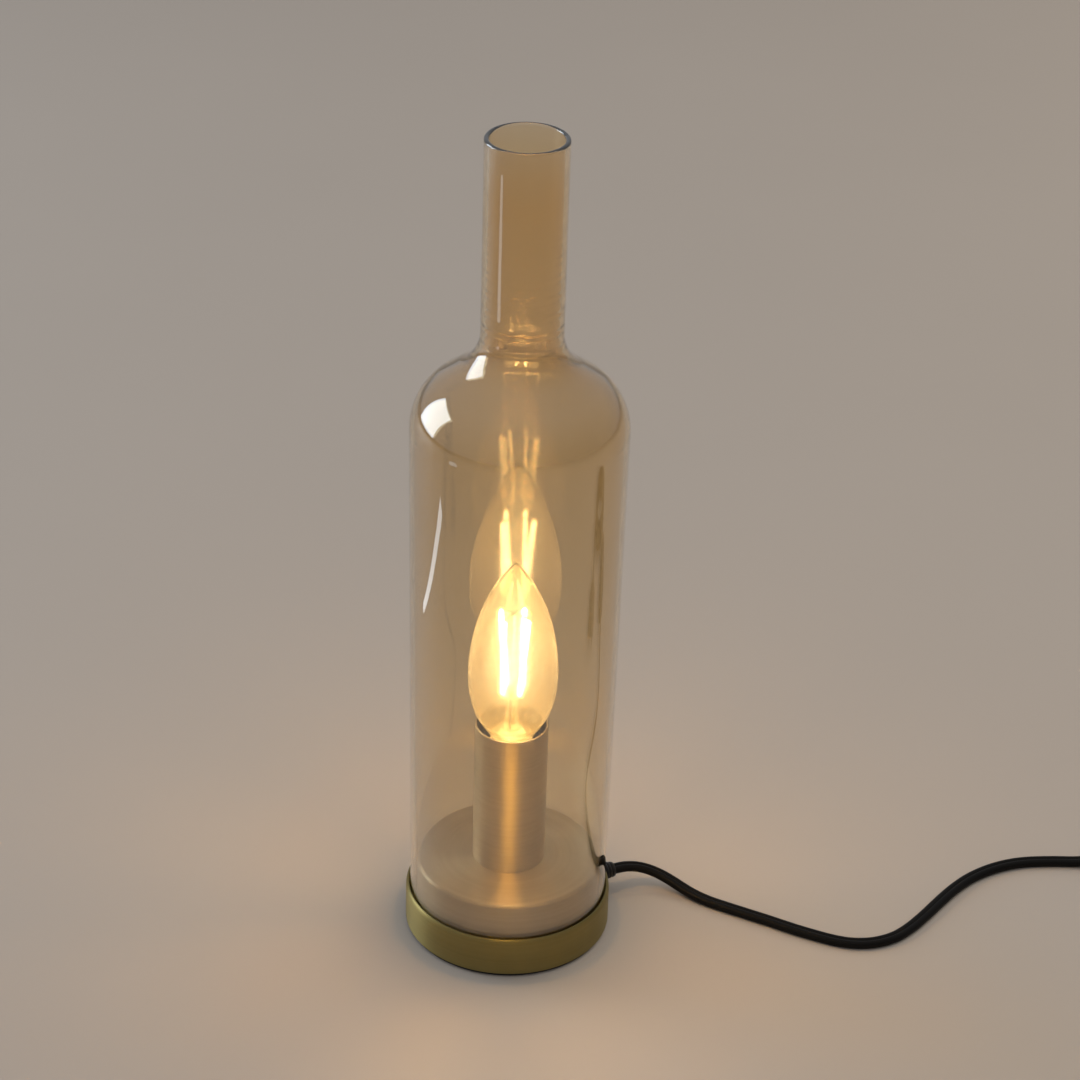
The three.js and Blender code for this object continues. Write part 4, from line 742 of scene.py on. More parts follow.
def amber_glass():
    """Bottle glass, deeper in colour towards its neck and where it is seen edge on."""
    tints = colours()
    top = high_of("glass_neck").z
    stops = [
        (low_of("glass_bottle").z, tints.amber_foot), (high_of("bulb_envelope").z, tints.amber_body),
        (top - LIP_FADE, tints.amber_neck), (top, tints.amber_lip),
    ]
    material, tree, shader, tone = clear_glass("Amber Glass", stops, 26.0, 0.03, AMBER_LIGHT)
    facing = add_node(tree, "ShaderNodeLayerWeight", {"Blend": 0.15}).outputs["Facing"]
    feed(tree, shader, {
        "Base Color": blended(tree, facing, tone, tints.amber_edge, "MULTIPLY"),
        "Coat Weight": 1.0, "Coat IOR": LUSTRE_IOR, "Coat Roughness": 0.0,
    })
    return material


def bulb_glass():
    """Bulb glass with a painted golden glow that stands in for the glare round the filaments, brightest at
    its foot, and hazier where it is seen face on.
    """
    tints = colours()
    low, high = low_of("bulb_envelope").z, high_of("bulb_envelope").z
    coil_low, coil_high = low_of("filament_1").z, high_of("filament_1").z
    middle = (coil_low + coil_high) / 2
    stops = [(low, tints.bulb), (high, shade(tints.bulb, 0.98))]
    material, tree, shader, _ = clear_glass("Bulb Glass", stops, 60.0, 0.02, BULB_LIGHT)
    shares = ((low, 0.35), (coil_low, 0.9), (middle, 1.0), (coil_high, 0.9), (high, 0.4))
    hazy = colours_by_height(tree, [(z, (share,) * 3) for z, share in shares])
    haze = calculate(tree, "MULTIPLY", patchy(tree, 4000.0, 0.04, 0.4), hazy)
    facing = add_node(tree, "ShaderNodeLayerWeight", {"Blend": 0.5}).outputs["Facing"]
    clearer = add_node(tree, "ShaderNodeMapRange", {"Value": facing, "To Min": 1.0, "To Max": 0.15})
    # Painted glow: strongest at the bulb's foot, fading up past the filaments to its tip
    shares = (
        (low, 1.0), ((low + coil_low) / 2, 0.8), (coil_low, 0.3),
        (middle, 0.28), (coil_high, 0.22), (high, 0.1),
    )
    feed(tree, shader, {
        "Roughness": calculate(tree, "MULTIPLY", haze, clearer.outputs["Result"]),
        "Emission Color": colours_by_height(tree, [(z, shade(tints.halo, share)) for z, share in shares]),
        "Emission Strength": PAINTED_GLOW_STRENGTH,
    })
    return material


def cord_plastic():
    """Soft black cord with faint drawn lines along it and slow changes of gloss."""
    material, tree, shader = new_material("Cord Plastic")
    uv = add_node(tree, "ShaderNodeUVMap", uv_map="UVMap")
    mapping = add_node(tree, "ShaderNodeMapping", {"Vector": uv.outputs["UV"], "Scale": (60.0, 25.0, 1.0)})
    drawn = add_node(
        tree, "ShaderNodeTexNoise", {"Vector": mapping.outputs["Vector"], "Scale": 1.0, "Detail": 3.0}
    ).outputs["Fac"]
    gloss = add_node(tree, "ShaderNodeMapRange", {
        "Value": drawn, "From Min": NOISE_LOW, "From Max": NOISE_HIGH, "To Min": 0.4, "To Max": 0.55,
    })
    feed(tree, shader, {
        "Base Color": shades(tree, drawn, colours().black, 0.8, 1.5), "Roughness": gloss.outputs["Result"],
        "Specular IOR Level": 0.12, "Normal": bump(tree, drawn, 0.25, 0.00005),
    })
    return material


def lit_filament():
    """Glowing coating: white-hot in the middle, deeper orange at both ends."""
    material, tree, shader = new_material("Lit Filament")
    low, high = low_of("filament_1").z, high_of("filament_1").z
    edge = 0.06 * (high - low)
    warm, cool = tuple(colours().glow), shade(colours().glow, 0.45)
    tone = colours_by_height(tree, [(low, cool), (low + edge, warm), (high - edge, warm), (high, cool)])
    feed(tree, shader, {
        "Base Color": tone, "Emission Color": tone, "Emission Strength": FILAMENT_STRENGTH, "Roughness": 0.5,
    })
    return material


# Each slot's own maker, or a kind with a name, a colour, its least and greatest roughness, the density of its
# lines or the scale of its grain, the strength of those, and the brushing of a brushed metal
MAKERS = {
    "amber_glass": amber_glass, "clear_glass": bulb_glass, "cord_plastic": cord_plastic,
    "lit_filament": lit_filament,
}
KINDS = {
    "dish_brass": (turned_metal, "Dish Brass", "brass", 0.42, 0.5, 5200.0, 0.1, 0.9),
    "champagne_metal": (turned_metal, "Champagne Metal", "champagne", 0.36, 0.44, 6500.0, 0.1, 0.85),
    "plain_brass": (turned_metal, "Plain Brass", (0.62, 0.43, 0.16), 0.25, 0.35, 3000.0, 0.05),
    "zinc_steel": (turned_metal, "Zinc Steel", (0.5, 0.5, 0.48), 0.32, 0.45, 2600.0, 0.06),
    "nickel": (turned_metal, "Nickel", (0.62, 0.6, 0.55), 0.2, 0.3, 3000.0, 0.04),
    "cast_iron": (moulded, "Cast Iron", (0.07, 0.068, 0.064), 0.6, 0.8, 900.0, 0.6),
    "black_rubber": (moulded, "Black Rubber", (0.013, 0.012, 0.011), 0.7, 0.85, 1500.0, 0.35),
    "black_plastic": (moulded, "Black Plastic", "black", 0.34, 0.46, 2200.0, 0.18),
    "white_ceramic": (moulded, "White Ceramic", (0.78, 0.75, 0.69), 0.4, 0.55, 1300.0, 0.2),
    "brown_wire": (moulded, "Brown Wire", (0.11, 0.045, 0.018), 0.4, 0.5, 1800.0, 0.1),
    "blue_wire": (moulded, "Blue Wire", (0.03, 0.1, 0.26), 0.4, 0.5, 1800.0, 0.1),
}
FINISHES = {}


def finish(slot):
    """The finish of a slot, made on first use."""
    if slot not in FINISHES:
        if slot in MAKERS:
            FINISHES[slot] = MAKERS[slot]()
        else:
            kind, name, colour, *values = KINDS[slot]
            colour = getattr(colours(), colour) if isinstance(colour, str) else colour
            FINISHES[slot] = kind(name, colour, *values)
    return FINISHES[slot]


# Sections of the turned pieces


def bottle_side(depth, steps):
    """Side of the bottle from foot to neck, moved in from the outside by a depth, and the neck's top."""
    s = sizes()
    rise, run = math.sin(s.shoulder_slope), math.cos(s.shoulder_slope)
    foot_z = low_of("glass_bottle").z
    inset = s.glass_radius - s.neck_radius
    curve_inset = (s.shoulder_curve + s.neck_hollow) * (1 - run)
    share = min(1.0, inset / curve_inset)
    curve_r, hollow_r = s.shoulder_curve * share, s.neck_hollow * share
    straight = (inset - curve_inset * share) / rise
    shoulder_z = foot_z + s.glass_body
    neck_z = shoulder_z + (curve_r + hollow_r) * rise + straight * run
    curve = arc(s.glass_radius - curve_r, shoulder_z, curve_r - depth, 0, s.shoulder_slope, steps)
    start = math.pi + s.shoulder_slope
    hollow = arc(s.neck_radius + hollow_r, neck_z, hollow_r + depth, start, math.pi, steps)
    foot = (s.glass_radius - s.glass_taper - depth, foot_z)
    return foot, curve + hollow, neck_z + s.neck_length


def rippled(points, middle):
    """Blown rings on the inside of the glass, strongest where the neck starts."""
    rings = []
    for i, (r, z) in enumerate(points):
        before, after = points[max(i - 1, 0)], points[min(i + 1, len(points) - 1)]
        run, rise = after[0] - before[0], after[1] - before[1]
        length = math.hypot(run, rise)
        reach = RIPPLE_UP if z > middle else RIPPLE_DOWN
        share = max(0.0, 1 - abs(z - middle) / reach)
        wave = math.sin(FULL_TURN * z / RIPPLE_LONG) + 0.5 * math.sin(FULL_TURN * z / RIPPLE_SHORT + 1.0)
        depth = RIPPLE_DEPTH * ease(share) * wave
        rings.append((r + depth * rise / length, z - depth * run / length))
    return rings


class LAMP_OT_bottle(Operator):
    """Turn the tinted glass bottle with its rounded lip"""

    bl_idname = "bottle_lamp.bottle"
    bl_label = "Glass Bottle"

    def execute(self, context):
        s = sizes()
        wall = s.glass_wall
        foot_out, side_out, top_z = bottle_side(0.0, 18)
        foot_in, side_in, _ = bottle_side(wall, 36)
        lip = arc(s.neck_radius - wall / 2, top_z - wall / 2, wall / 2, 0, math.pi, 10)
        edge = wall * 0.3
        outside = divided((foot_out[0], foot_out[1] + edge), side_out[0], 8) + side_out
        outside += divided(side_out[-1], lip[0], 5)[1:]
        inside = divided((foot_in[0], foot_in[1] + edge), side_in[0], 8) + side_in
        inside += divided(side_in[-1], lip[-1], RIPPLE_STEPS)[1:]
        inside = rippled(inside, low_of("glass_neck").z)
        foot = arc(foot_in[0] + edge, foot_in[1] + edge, edge, math.pi, 1.5 * math.pi, 4)[1:]
        foot += arc(foot_out[0] - edge, foot_out[1] + edge, edge, 1.5 * math.pi, FULL_TURN, 4)[:-1]
        piece = turn(outside + lip + inside[::-1] + foot, s.turn_steps)
        settle(piece, "bottle", "amber_glass", *BOTTLE_NODES, body="shade", angle=math.radians(60))
        return {"FINISHED"}


class LAMP_OT_dish(Operator):
    """Turn the brass dish, its foot pad and the gasket under the glass"""

    bl_idname = "bottle_lamp.dish"
    bl_label = "Dish and Pad"

    def execute(self, context):
        s = sizes()
        low, high = ends_of("base_dish")
        radius, bore = high.x, high.x - s.dish_wall
        plate_low, plate_top = high_of("ballast_weight").z, low_of("glass_seat_ring").z
        hole = high_of("threaded_nipple").x + FIT_GAP
        small = 0.0003
        rim = arc(0, 0, 1.0, 0, math.pi / 2, 12)
        rim = [(radius + (x - 1) * s.dish_round, high.z + (z - 1) * s.dish_roll) for x, z in rim]
        inner = arc(bore + small, high.z - small, small, math.pi / 2, math.pi, 4)
        foot = arc(radius - small, low.z + small, small, -math.pi / 2, 0, 4)
        wall = divided((radius, low.z + small), rim[0], 6)[1:]
        profile = [(bore, low.z)] + foot + wall + rim + inner
        profile += [(bore, plate_top), (hole, plate_top), (hole, plate_low), (bore, plate_low)]
        dish = turn(profile, s.turn_steps)
        middle = middle_of("cord_bush")
        way = Vector((middle.x, middle.y, 0)).normalized()
        beyond = 0.01
        start, end = way * (bore - beyond), way * (radius + beyond)
        start.z = end.z = middle.z
        combine(dish, rod_tool(start, end, BUSH_HOLE))
        settle(dish, "dish", "dish_brass", "base_dish", angle=math.radians(40))
        low, high = ends_of("foot_pad")
        radius, hole, edge = high.x, 0.008, 0.0005
        outer = arc(radius - edge, low.z + edge, edge, -math.pi / 2, 0, 4)
        pad = turn([(hole, low.z)] + outer + [(radius, high.z), (hole, high.z)], s.turn_steps)
        settle(pad, "pad", "black_rubber", "foot_pad")
        low, high = ends_of("glass_seat_ring")
        gap, drop, flatness = 0.0004, 0.0003, 0.25
        bore = high_of("plinth_drum").x + gap
        crown = arc((bore + high.x) / 2, 0, (high.x - bore) / 2, 0, math.pi, 8)
        crown = [(r, high.z - drop + z * flatness) for r, z in crown]
        seat = turn([(bore, low.z), (high.x, low.z)] + crown, s.turn_steps)
        settle(seat, "gasket", "black_rubber", "glass_seat_ring")
        return {"FINISHED"}


class LAMP_OT_plinth(Operator):
    """Turn the plinth drum and the brushed sleeve"""

    bl_idname = "bottle_lamp.plinth"
    bl_label = "Plinth and Sleeve"

    def execute(self, context):
        s = sizes()
        plate, lip = 0.0015, 0.0003
        low, high = ends_of("plinth_drum")
        radius, edge_r, wall = high.x, s.plinth_edge, s.plinth_wall
        hole = high_of("threaded_nipple").x + FIT_GAP
        under = high.z - plate
        edge = arc(radius - edge_r, high.z - edge_r, edge_r, 0, math.pi / 2, 12)
        side = divided((radius, low.z), edge[0], 6)
        top = divided(edge[-1], (hole, high.z), 10)[1:]
        profile = [(radius - wall, low.z)] + side + edge + top + [(hole, high.z), (hole, under)]
        profile += [(radius - edge_r, under), (radius - wall, under - edge_r + wall)]
        drum = turn(profile, s.turn_steps)
        settle(drum, "plinth", "champagne_metal", "plinth_drum")
        low, high = ends_of("lamp_sleeve")
        radius, bore = high.x, high.x - s.sleeve_wall
        floor = low.z + plate
        rim = arc(radius - lip, high.z - lip, lip, 0, math.pi / 2, 4)
        rim += arc(bore + lip, high.z - lip, lip, math.pi / 2, math.pi, 4)
        foot = arc(radius - lip, low.z + lip, lip, -math.pi / 2, 0, 4)
        side = divided(foot[-1], rim[0], 12)[1:]
        profile = [(hole, low.z)] + foot + side + rim + [(bore, floor), (hole, floor)]
        sleeve = turn(profile, s.turn_steps)
        settle(sleeve, "sleeve", "champagne_metal", "lamp_sleeve")
        # Painted shade: the sleeve's inner face gets black plastic so that the shaded gap round the bulb's
        # cap shows dark
        sleeve.data.materials.append(finish("black_plastic"))
        for face in sleeve.data.polygons:
            outward = face.normal.x * face.center.x + face.normal.y * face.center.y
            face.material_index = 1 if outward < 0 else 0
        return {"FINISHED"}


class LAMP_OT_holder(Operator):
    """Turn the dark cup and skirt of the lamp holder"""

    bl_idname = "bottle_lamp.holder"
    bl_label = "Lamp Holder"

    def execute(self, context):
        steps, edge = 96, 0.0006
        cap_low, cap_high = ends_of("holder_cap")
        shell_low, shell_high = ends_of("holder_shell")
        spigot = high_of("holder_core").x
        hole = high_of("threaded_nipple").x + FIT_GAP
        radius, bore = cap_high.x, spigot + FIT_GAP
        foot = arc(radius - edge, cap_low.z + edge, edge, -math.pi / 2, 0, 4)
        floor = cap_low.z + HOLDER_FLOOR
        profile = [(hole, cap_low.z)] + foot + [(radius, cap_high.z), (bore, cap_high.z)]
        cup = turn(profile + [(bore, floor), (hole, floor)], steps)
        settle(cup, "holder_cup", "black_plastic", "holder_cap")
        spigot_bore = spigot - 0.0013
        split, ledge = cap_high.z, cap_high.z + 0.0015
        rim = arc(radius - edge, shell_high.z - edge, edge, 0, math.pi / 2, 5)
        first, apart, deep = 0.006, 0.0032, radius - 0.00035
        grooves = []
        for i in range(6):
            z = split + first + i * apart
            grooves += [(radius, z), (deep, z + 0.0004), (deep, z + 0.0012), (radius, z + 0.0016)]
        profile = [(spigot_bore, shell_low.z), (spigot, shell_low.z), (spigot, split), (radius, split)]
        profile += grooves + rim + [(bore, shell_high.z), (bore, ledge), (spigot_bore, ledge)]
        settle(turn(profile, steps), "holder_skirt", "black_plastic", "holder_shell")
        return {"FINISHED"}


def bulb_side(depth):
    """Side of the candle bulb from its neck to its tip, moved in by a depth."""
    low, high = ends_of("bulb_envelope")
    neck_r, bulb_r = BULB_NECK, (high.x - low.x) / 2
    flame = high.z - low.z - BULB_BELL
    widest = low.z + BULB_BELL
    foot_out, foot_up, bell_up = 0.21, 0.15, 0.35
    flame_up, tip_out, tip_up = 0.39, 0.61, 0.76
    lower = bezier(
        (neck_r - depth, low.z), (neck_r + foot_out * (bulb_r - neck_r) - depth, low.z + foot_up * BULB_BELL),
        (bulb_r - depth, low.z + bell_up * BULB_BELL), (bulb_r - depth, widest), 22,
    )
    upper = bezier(
        (bulb_r - depth, widest), (bulb_r - depth, widest + flame_up * flame),
        (tip_out * bulb_r - depth, widest + tip_up * flame), (0, widest + flame - depth), 40,
    )
    return lower + upper[1:]


class LAMP_OT_bulb_glass(Operator):
    """Turn the bulb's flame-shaped glass and its stem"""

    bl_idname = "bottle_lamp.bulb_glass"
    bl_label = "Bulb Glass"

    def execute(self, context):
        glass = turn(bulb_side(sizes().bulb_wall)[::-1] + bulb_side(0.0), 96, closed=False)
        settle(glass, "bulb_glass", "clear_glass", "bulb_envelope", body="bulb", angle=SOFT_ANGLE)
        low, high = ends_of("bulb_stem")
        flare, height = high.x, high.z - low.z
        crown_r, top_r = 0.0008, 0.0024
        waist = (0.0026, low.z + 0.45 * height)
        side = bezier(
            (flare, low.z + 0.0012), (flare * 0.62, low.z + 0.0016), (0.0034, low.z + 0.2 * height), waist, 14
        )
        neck = bezier(
            waist, (0.0022, low.z + 0.6 * height), (0.0021, low.z + 0.8 * height),
            (top_r, high.z - crown_r), 8,
        )
        crown = arc(top_r - crown_r, high.z - crown_r, crown_r, 0, math.pi / 2, 4)
        profile = [(0, low.z), (flare, low.z)] + side + neck[1:] + crown[1:] + [(0, high.z)]
        stem = turn(profile, 48, closed=False)
        settle(stem, "bulb_stem_glass", "clear_glass", "bulb_stem", body="bulb", angle=SOFT_ANGLE)
        return {"FINISHED"}


def filament_ends(index):
    """Low and high end of a filament, from the bulb's axis."""
    stem_z = high_of("bulb_stem").z
    low_r, high_r, foot, top = 0.0046, 0.0066, stem_z + 0.002, stem_z + 0.036
    angle = FILAMENT_ANGLE + index * math.pi / 2
    return polar(low_r, angle, foot), polar(high_r, angle + FILAMENT_TWIST, top)


def strut(start, end):
    """A piece of thin wire between two points."""
    return sweep([Vector(start), Vector(end)], round_section(FRAME_WIRE, 12))


class LAMP_OT_filaments(Operator):
    """Make the lit filaments and the wires that carry them"""

    bl_idname = "bottle_lamp.filaments"
    bl_label = "Filaments"

    def execute(self, context):
        radius = sizes().filament_radius
        for index in range(4):
            low, high = filament_ends(index)
            length = (high - low).length
            side = arc(0, radius, radius, -math.pi / 2, 0, 6)
            side += arc(0, length - radius, radius, 0, math.pi / 2, 6)
            rod = turn(side, 24, closed=False)
            lean = (high - low).to_track_quat("Z", "Y").to_matrix().to_4x4()
            set_place(rod, Matrix.Translation(low) @ lean)
            settle(rod, f"filament_rod_{index + 1}", "lit_filament", f"filament_{index + 1}", body="bulb")
        arm_z = filament_ends(0)[1].z + FIT_GAP + FRAME_WIRE
        star = strut((0, 0, high_of("bulb_stem").z), (0, 0, arm_z))
        for index in range(4):
            tip = filament_ends(index)[1]
            combine(star, strut((0, 0, arm_z), (tip.x, tip.y, arm_z)), "UNION")
        settle(star, "filament_star", "nickel", "filament_frame", body="bulb")
        reach = 0.0036 + FIT_GAP + FRAME_WIRE
        arm_z = filament_ends(0)[0].z - FIT_GAP - FRAME_WIRE
        for side in range(2):
            node = f"lead_wire_{side + 1}"
            foot = polar(reach, FILAMENT_ANGLE + math.pi * side + math.pi / 4, low_of(node).z)
            top = (foot.x, foot.y, arm_z)
            fork = strut(foot, top)
            for index in (side * 2, side * 2 + 1):
                tip = filament_ends(index)[0]
                combine(fork, strut(top, (tip.x, tip.y, arm_z)), "UNION")
            settle(fork, f"lead_fork_{side + 1}", "nickel", node, body="bulb")
        return {"FINISHED"}


class LAMP_OT_bulb_cap(Operator):
    """Make the bulb's screw cap with its rolled thread"""

    bl_idname = "bottle_lamp.bulb_cap"
    bl_label = "Bulb Cap"

    def execute(self, context):
        low, high = ends_of("bulb_cap")
        root, depth, pitch = 0.00625, 0.0007, 0.002822
        thread_top, flare_z = high.z - 0.0081, high.z - 0.0047
        rim_r, skin = 0.0085, 0.0009
        bore = root - skin
        profile = divided((root, low.z), (root, thread_top), 60) + [
            (root, thread_top), (root, flare_z), (rim_r - 0.0002, high.z - 0.0006), (rim_r, high.z),
            (rim_r - skin, high.z), (bore, flare_z), (bore, low.z),
        ]
        cap = turn(profile, 64)
        for vertex in cap.data.vertices:
            x, y, z = vertex.co
            if abs(math.hypot(x, y) - root) > MERGE_DISTANCE or z >= thread_top:
                continue
            run_out = min(1.0, (z - low.z) / pitch, (thread_top - z) / pitch)
            wave = 0.5 + 0.5 * math.cos(FULL_TURN * z / pitch - math.atan2(y, x))
            share = (root + depth * run_out * wave) / root
            vertex.co = (x * share, y * share, z)
        settle(cap, "bulb_screw_cap", "nickel", "bulb_cap", body="bulb", angle=SOFT_ANGLE)
        return {"FINISHED"}


def bush_tail():
    """Reach of the bush's inner end and of its face against the dish's wall."""
    face = math.sqrt((high_of("base_dish").x - sizes().dish_wall) ** 2 - BUSH_TAIL**2) - FIT_GAP
    return face - 0.013, face


class LAMP_OT_bush(Operator):
    """Turn the tapered bush where the cord leaves the dish"""

    bl_idname = "bottle_lamp.bush"
    bl_label = "Cord Bush"

    def execute(self, context):
        head = high_of("base_dish").x + FIT_GAP
        tail, tail_face = bush_tail()
        waist, collar, small = 0.0026, 0.0037, 0.0003
        first, apart, taper = 0.0018, 0.0014, 0.145
        profile = [(0, tail), (BUSH_TAIL, tail), (BUSH_TAIL, tail_face), (waist, tail_face), (waist, head)]
        profile += arc(collar - small, head + small, small, -math.pi / 2, 0, 3) + [(collar, head + 0.0014)]
        for i in range(3):
            z = head + first + i * apart
            r = collar - (z - head - 0.0016) * taper
            profile += [(r - small, z), (r - small, z + 0.0004)]
            profile += [(r - 0.00005, z + 0.00055), (r - 0.0001, z + 0.0011)]
        profile += [(0.003, BUSH_TIP - 0.0002), (0.0028, BUSH_TIP), (0, BUSH_TIP)]
        bush = turn(profile, 40, closed=False)
        place = Matrix.Translation((0, 0, middle_of("cord_bush").z)) @ Matrix.Rotation(BUSH_ANGLE, 4, "Z")
        set_place(bush, place @ Matrix.Rotation(math.pi / 2, 4, "Y"))
        settle(bush, "bush", "black_plastic", "cord_bush")
        return {"FINISHED"}


class LAMP_OT_switch(Operator):
    """Make the two shells and the rocker of the switch on the cord"""

    bl_idname = "bottle_lamp.switch"
    bl_label = "Cord Switch"

    def execute(self, context):
        base_low, base_high = ends_of("switch_base")
        cover_low, cover_high = ends_of("switch_cover")
        middle = (base_low + cover_high) / 2
        split = (base_high.z + cover_low.z) / 2
        lower, upper = block(base_low, base_high), block(cover_low, cover_high)
        corner, edge, seam = 0.009, 0.0016, 0.0003
        for shell, outer, inner in ((lower, base_low.z, base_high.z), (upper, cover_high.z, cover_low.z)):
            round_corners(shell, corner, 10, UPRIGHT)
            soften_level(shell, outer, edge, 5)
            soften_level(shell, inner, seam, 2)
            self.hollow(shell, middle, base_low, base_high, cover_high.z, split)
        window_x, window_y, above = 0.0095, 0.0064, 0.05
        combine(upper, block(
            (middle.x - window_x, middle.y - window_y, split),
            (middle.x + window_x, middle.y + window_y, above),
        ))
        settle(lower, "switch_lower", "black_plastic", "switch_base")
        settle(upper, "switch_upper", "black_plastic", "switch_cover")
        self.add_rocker(middle)
        return {"FINISHED"}

    def hollow(self, shell, middle, low, high, top, split):
        """Cut the pocket, the cord's two mouths and the screw holes into a shell."""
        s = sizes()
        pocket_x, pocket_y, skin = 0.0165, 0.0086, 0.0018
        play, mouth, screw_x, under = 0.0006, 0.004, 0.02275, -0.001
        shank, head = (split + 0.0053, 0.0016), (low.z + 0.0036, 0.0029)
        combine(shell, block(
            (middle.x - pocket_x, middle.y - pocket_y, low.z + skin),
            (middle.x + pocket_x, middle.y + pocket_y, top - skin),
        ))
        for end in (low.x, high.x):
            line = [Vector((x, middle.y, split)) for x in (end - mouth, end + mouth)]
            combine(shell, sweep(line, twin_section(s.cord_width + play, s.cord_thickness + play, 8)))
        for x in (middle.x - screw_x, middle.x + screw_x):
            for hole_top, radius in (shank, head):
                combine(shell, rod_tool((x, middle.y, under), (x, middle.y, hole_top), radius))

    def add_rocker(self, middle):
        """Make the dished rocker, tilted to its first stop."""
        half, end_rise, middle_rise, belly, depth = 0.0085, 0.0042, 0.0032, 0.004, 0.012
        pivot, tilt = Vector((middle.x, middle.y, 0.014)), math.radians(8)
        dip = end_rise - middle_rise
        dished = [(half - half * i / 6, middle_rise + dip * (1 - i / 6) ** 2) for i in range(13)]
        rocker = extrude_outline([(-half, 0), (0, -belly), (half, 0)] + dished, depth)
        combine(rocker, rod_tool((0, -depth, 0), (0, depth, 0), ROCKER_PIN))
        soften(rocker, 0.00045, 3, 40)
        set_place(rocker, Matrix.Translation(pivot) @ Matrix.Rotation(tilt, 4, "Y"))
        settle(rocker, "rocker", "black_plastic", "switch_rocker", body="rocker")


class LAMP_OT_plug(Operator):
    """Make the flat plug with its ribbed relief and two pins"""

    bl_idname = "bottle_lamp.plug"
    bl_label = "Plug"

    def execute(self, context):
        low, high = ends_of("plug_body")
        back, middle = high.x, middle_of("plug_body")
        tail, relief, thin = 0.024, 0.0052, 0.0032
        length = back - low.x
        wide, narrow, shoulder = (high.y - low.y) / 2, 0.0065, tail + 0.017
        half = bezier(
            (tail, narrow), (tail + 0.005, narrow + 0.0015), (shoulder - 0.007, wide), (shoulder, wide), 10
        ) + [(length, wide)]
        body = extrude_outline(half + [(x, -y) for x, y in half[::-1]], high.z - low.z)
        soften(body, 0.0018, 4, 50)
        set_place(body, Matrix.Rotation(math.pi / 2, 4, "X"))
        first, apart, groove, sunk = 0.003, 0.0034, 0.0007, tail + 0.003
        profile = [(0, 0), (0.0030, 0), (thin, 0.0004)]
        for i in range(6):
            x = first + i * apart
            r = thin + (relief - thin) * x / tail
            profile += [(r, x), (r - groove, x + 0.0003), (r - groove, x + 0.0014), (r + 0.0001, x + 0.0017)]
        profile += [(relief, tail), (relief, sunk), (0, sunk)]
        sleeve = turn(profile, 40, closed=False)
        set_place(sleeve, Matrix.Rotation(math.pi / 2, 4, "Y"))
        combine(body, sleeve, "UNION")
        set_place(body, Matrix.Translation((back, middle.y, middle.z)) @ Matrix.Rotation(math.pi, 4, "Z"))
        settle(body, "plug", "black_plastic", "plug_body")
        for index in (1, 2):
            self.add_pin(index, middle.z)
        return {"FINISHED"}

    def add_pin(self, index, middle_z):
        """Make one pin with its black collar."""
        node = f"plug_pin_{index}"
        low, high = ends_of(node)
        radius, reach, collar, step = (high.y - low.y) / 2, high.x - low.x, 0.01, 0.0001
        tip = arc(0, reach - radius, radius, 0, math.pi / 2, 8)
        side = [(0, 0), (radius, 0), (radius, collar - step), (radius - step, collar)]
        pin = turn(side + tip, 32, closed=False)
        place = Matrix.Translation((high.x, (low.y + high.y) / 2, middle_z))
        set_place(pin, place @ Matrix.Rotation(-math.pi / 2, 4, "Y"))
        settle(pin, f"pin_{index}", "nickel", node)
        pin.data.materials.append(finish("black_plastic"))
        for face in pin.data.polygons:
            face.material_index = 1 if face.center.x > high.x - collar + step / 2 else 0


class LAMP_OT_tie(Operator):
    """Make the soft band that holds the coil together"""

    bl_idname = "bottle_lamp.tie"
    bl_label = "Coil Tie"

    def execute(self, context):
        low, high = ends_of("coil_tie")
        inset = Vector((TIE_BAND, -0.01, TIE_BAND))
        tie, hollow = block(low, high), block(low + inset, high - inset)
        round_corners(tie, 0.0015, 6, SIDEWAYS)
        round_corners(hollow, 0.0008, 6, SIDEWAYS)
        combine(tie, hollow)
        soften(tie, 0.0002, 2, 50)
        settle(tie, "tie", "black_rubber", "coil_tie")
        return {"FINISHED"}


def level_run(start, end, steps, straight):
    """Straight run that changes height between two level ends."""
    length = abs(end.x - start.x)
    run = []
    for i in range(steps):
        share = i / steps
        point = start.lerp(end, share)
        point.z = start.z + (end.z - start.z) * ease((share * length - straight) / (length - 2 * straight))
        run.append(point)
    return run


def coil_line(switch_end, plug_back, steps):
    """Centre line of the coil: from the switch, layers that spiral in and out by turns, then to the plug."""
    layers, turns, inner, pitch, rise = 4, 1.5, 0.024, 0.0068, 0.0041
    low_z = TIE_BAND + TIE_GAP + sizes().cord_thickness / 2
    outer = inner + pitch * turns
    lead_in = 0.045
    centre = Vector((switch_end.x + lead_in, switch_end.y - outer, 0))
    layer_steps, climb_steps = round(turns * steps), steps // 2
    places = []
    for layer in range(layers):
        z = low_z + layer * rise
        start, end = (outer, inner) if layer % 2 == 0 else (inner, outer)
        places += [(start + (end - start) * i / layer_steps, z) for i in range(layer_steps)]
        if layer < layers - 1:
            places += [(end, z + rise * ease(i / climb_steps)) for i in range(climb_steps)]
    loops = [
        centre + polar(radius, math.pi / 2 - FULL_TURN * i / steps, z) for i, (radius, z) in enumerate(places)
    ]
    leave = centre + Vector((0, -outer, low_z + (layers - 1) * rise))
    straight = sizes().cord_width
    return (
        level_run(switch_end, loops[0], 22, straight) + loops
        + level_run(leave, plug_back, 24, straight) + [plug_back]
    )


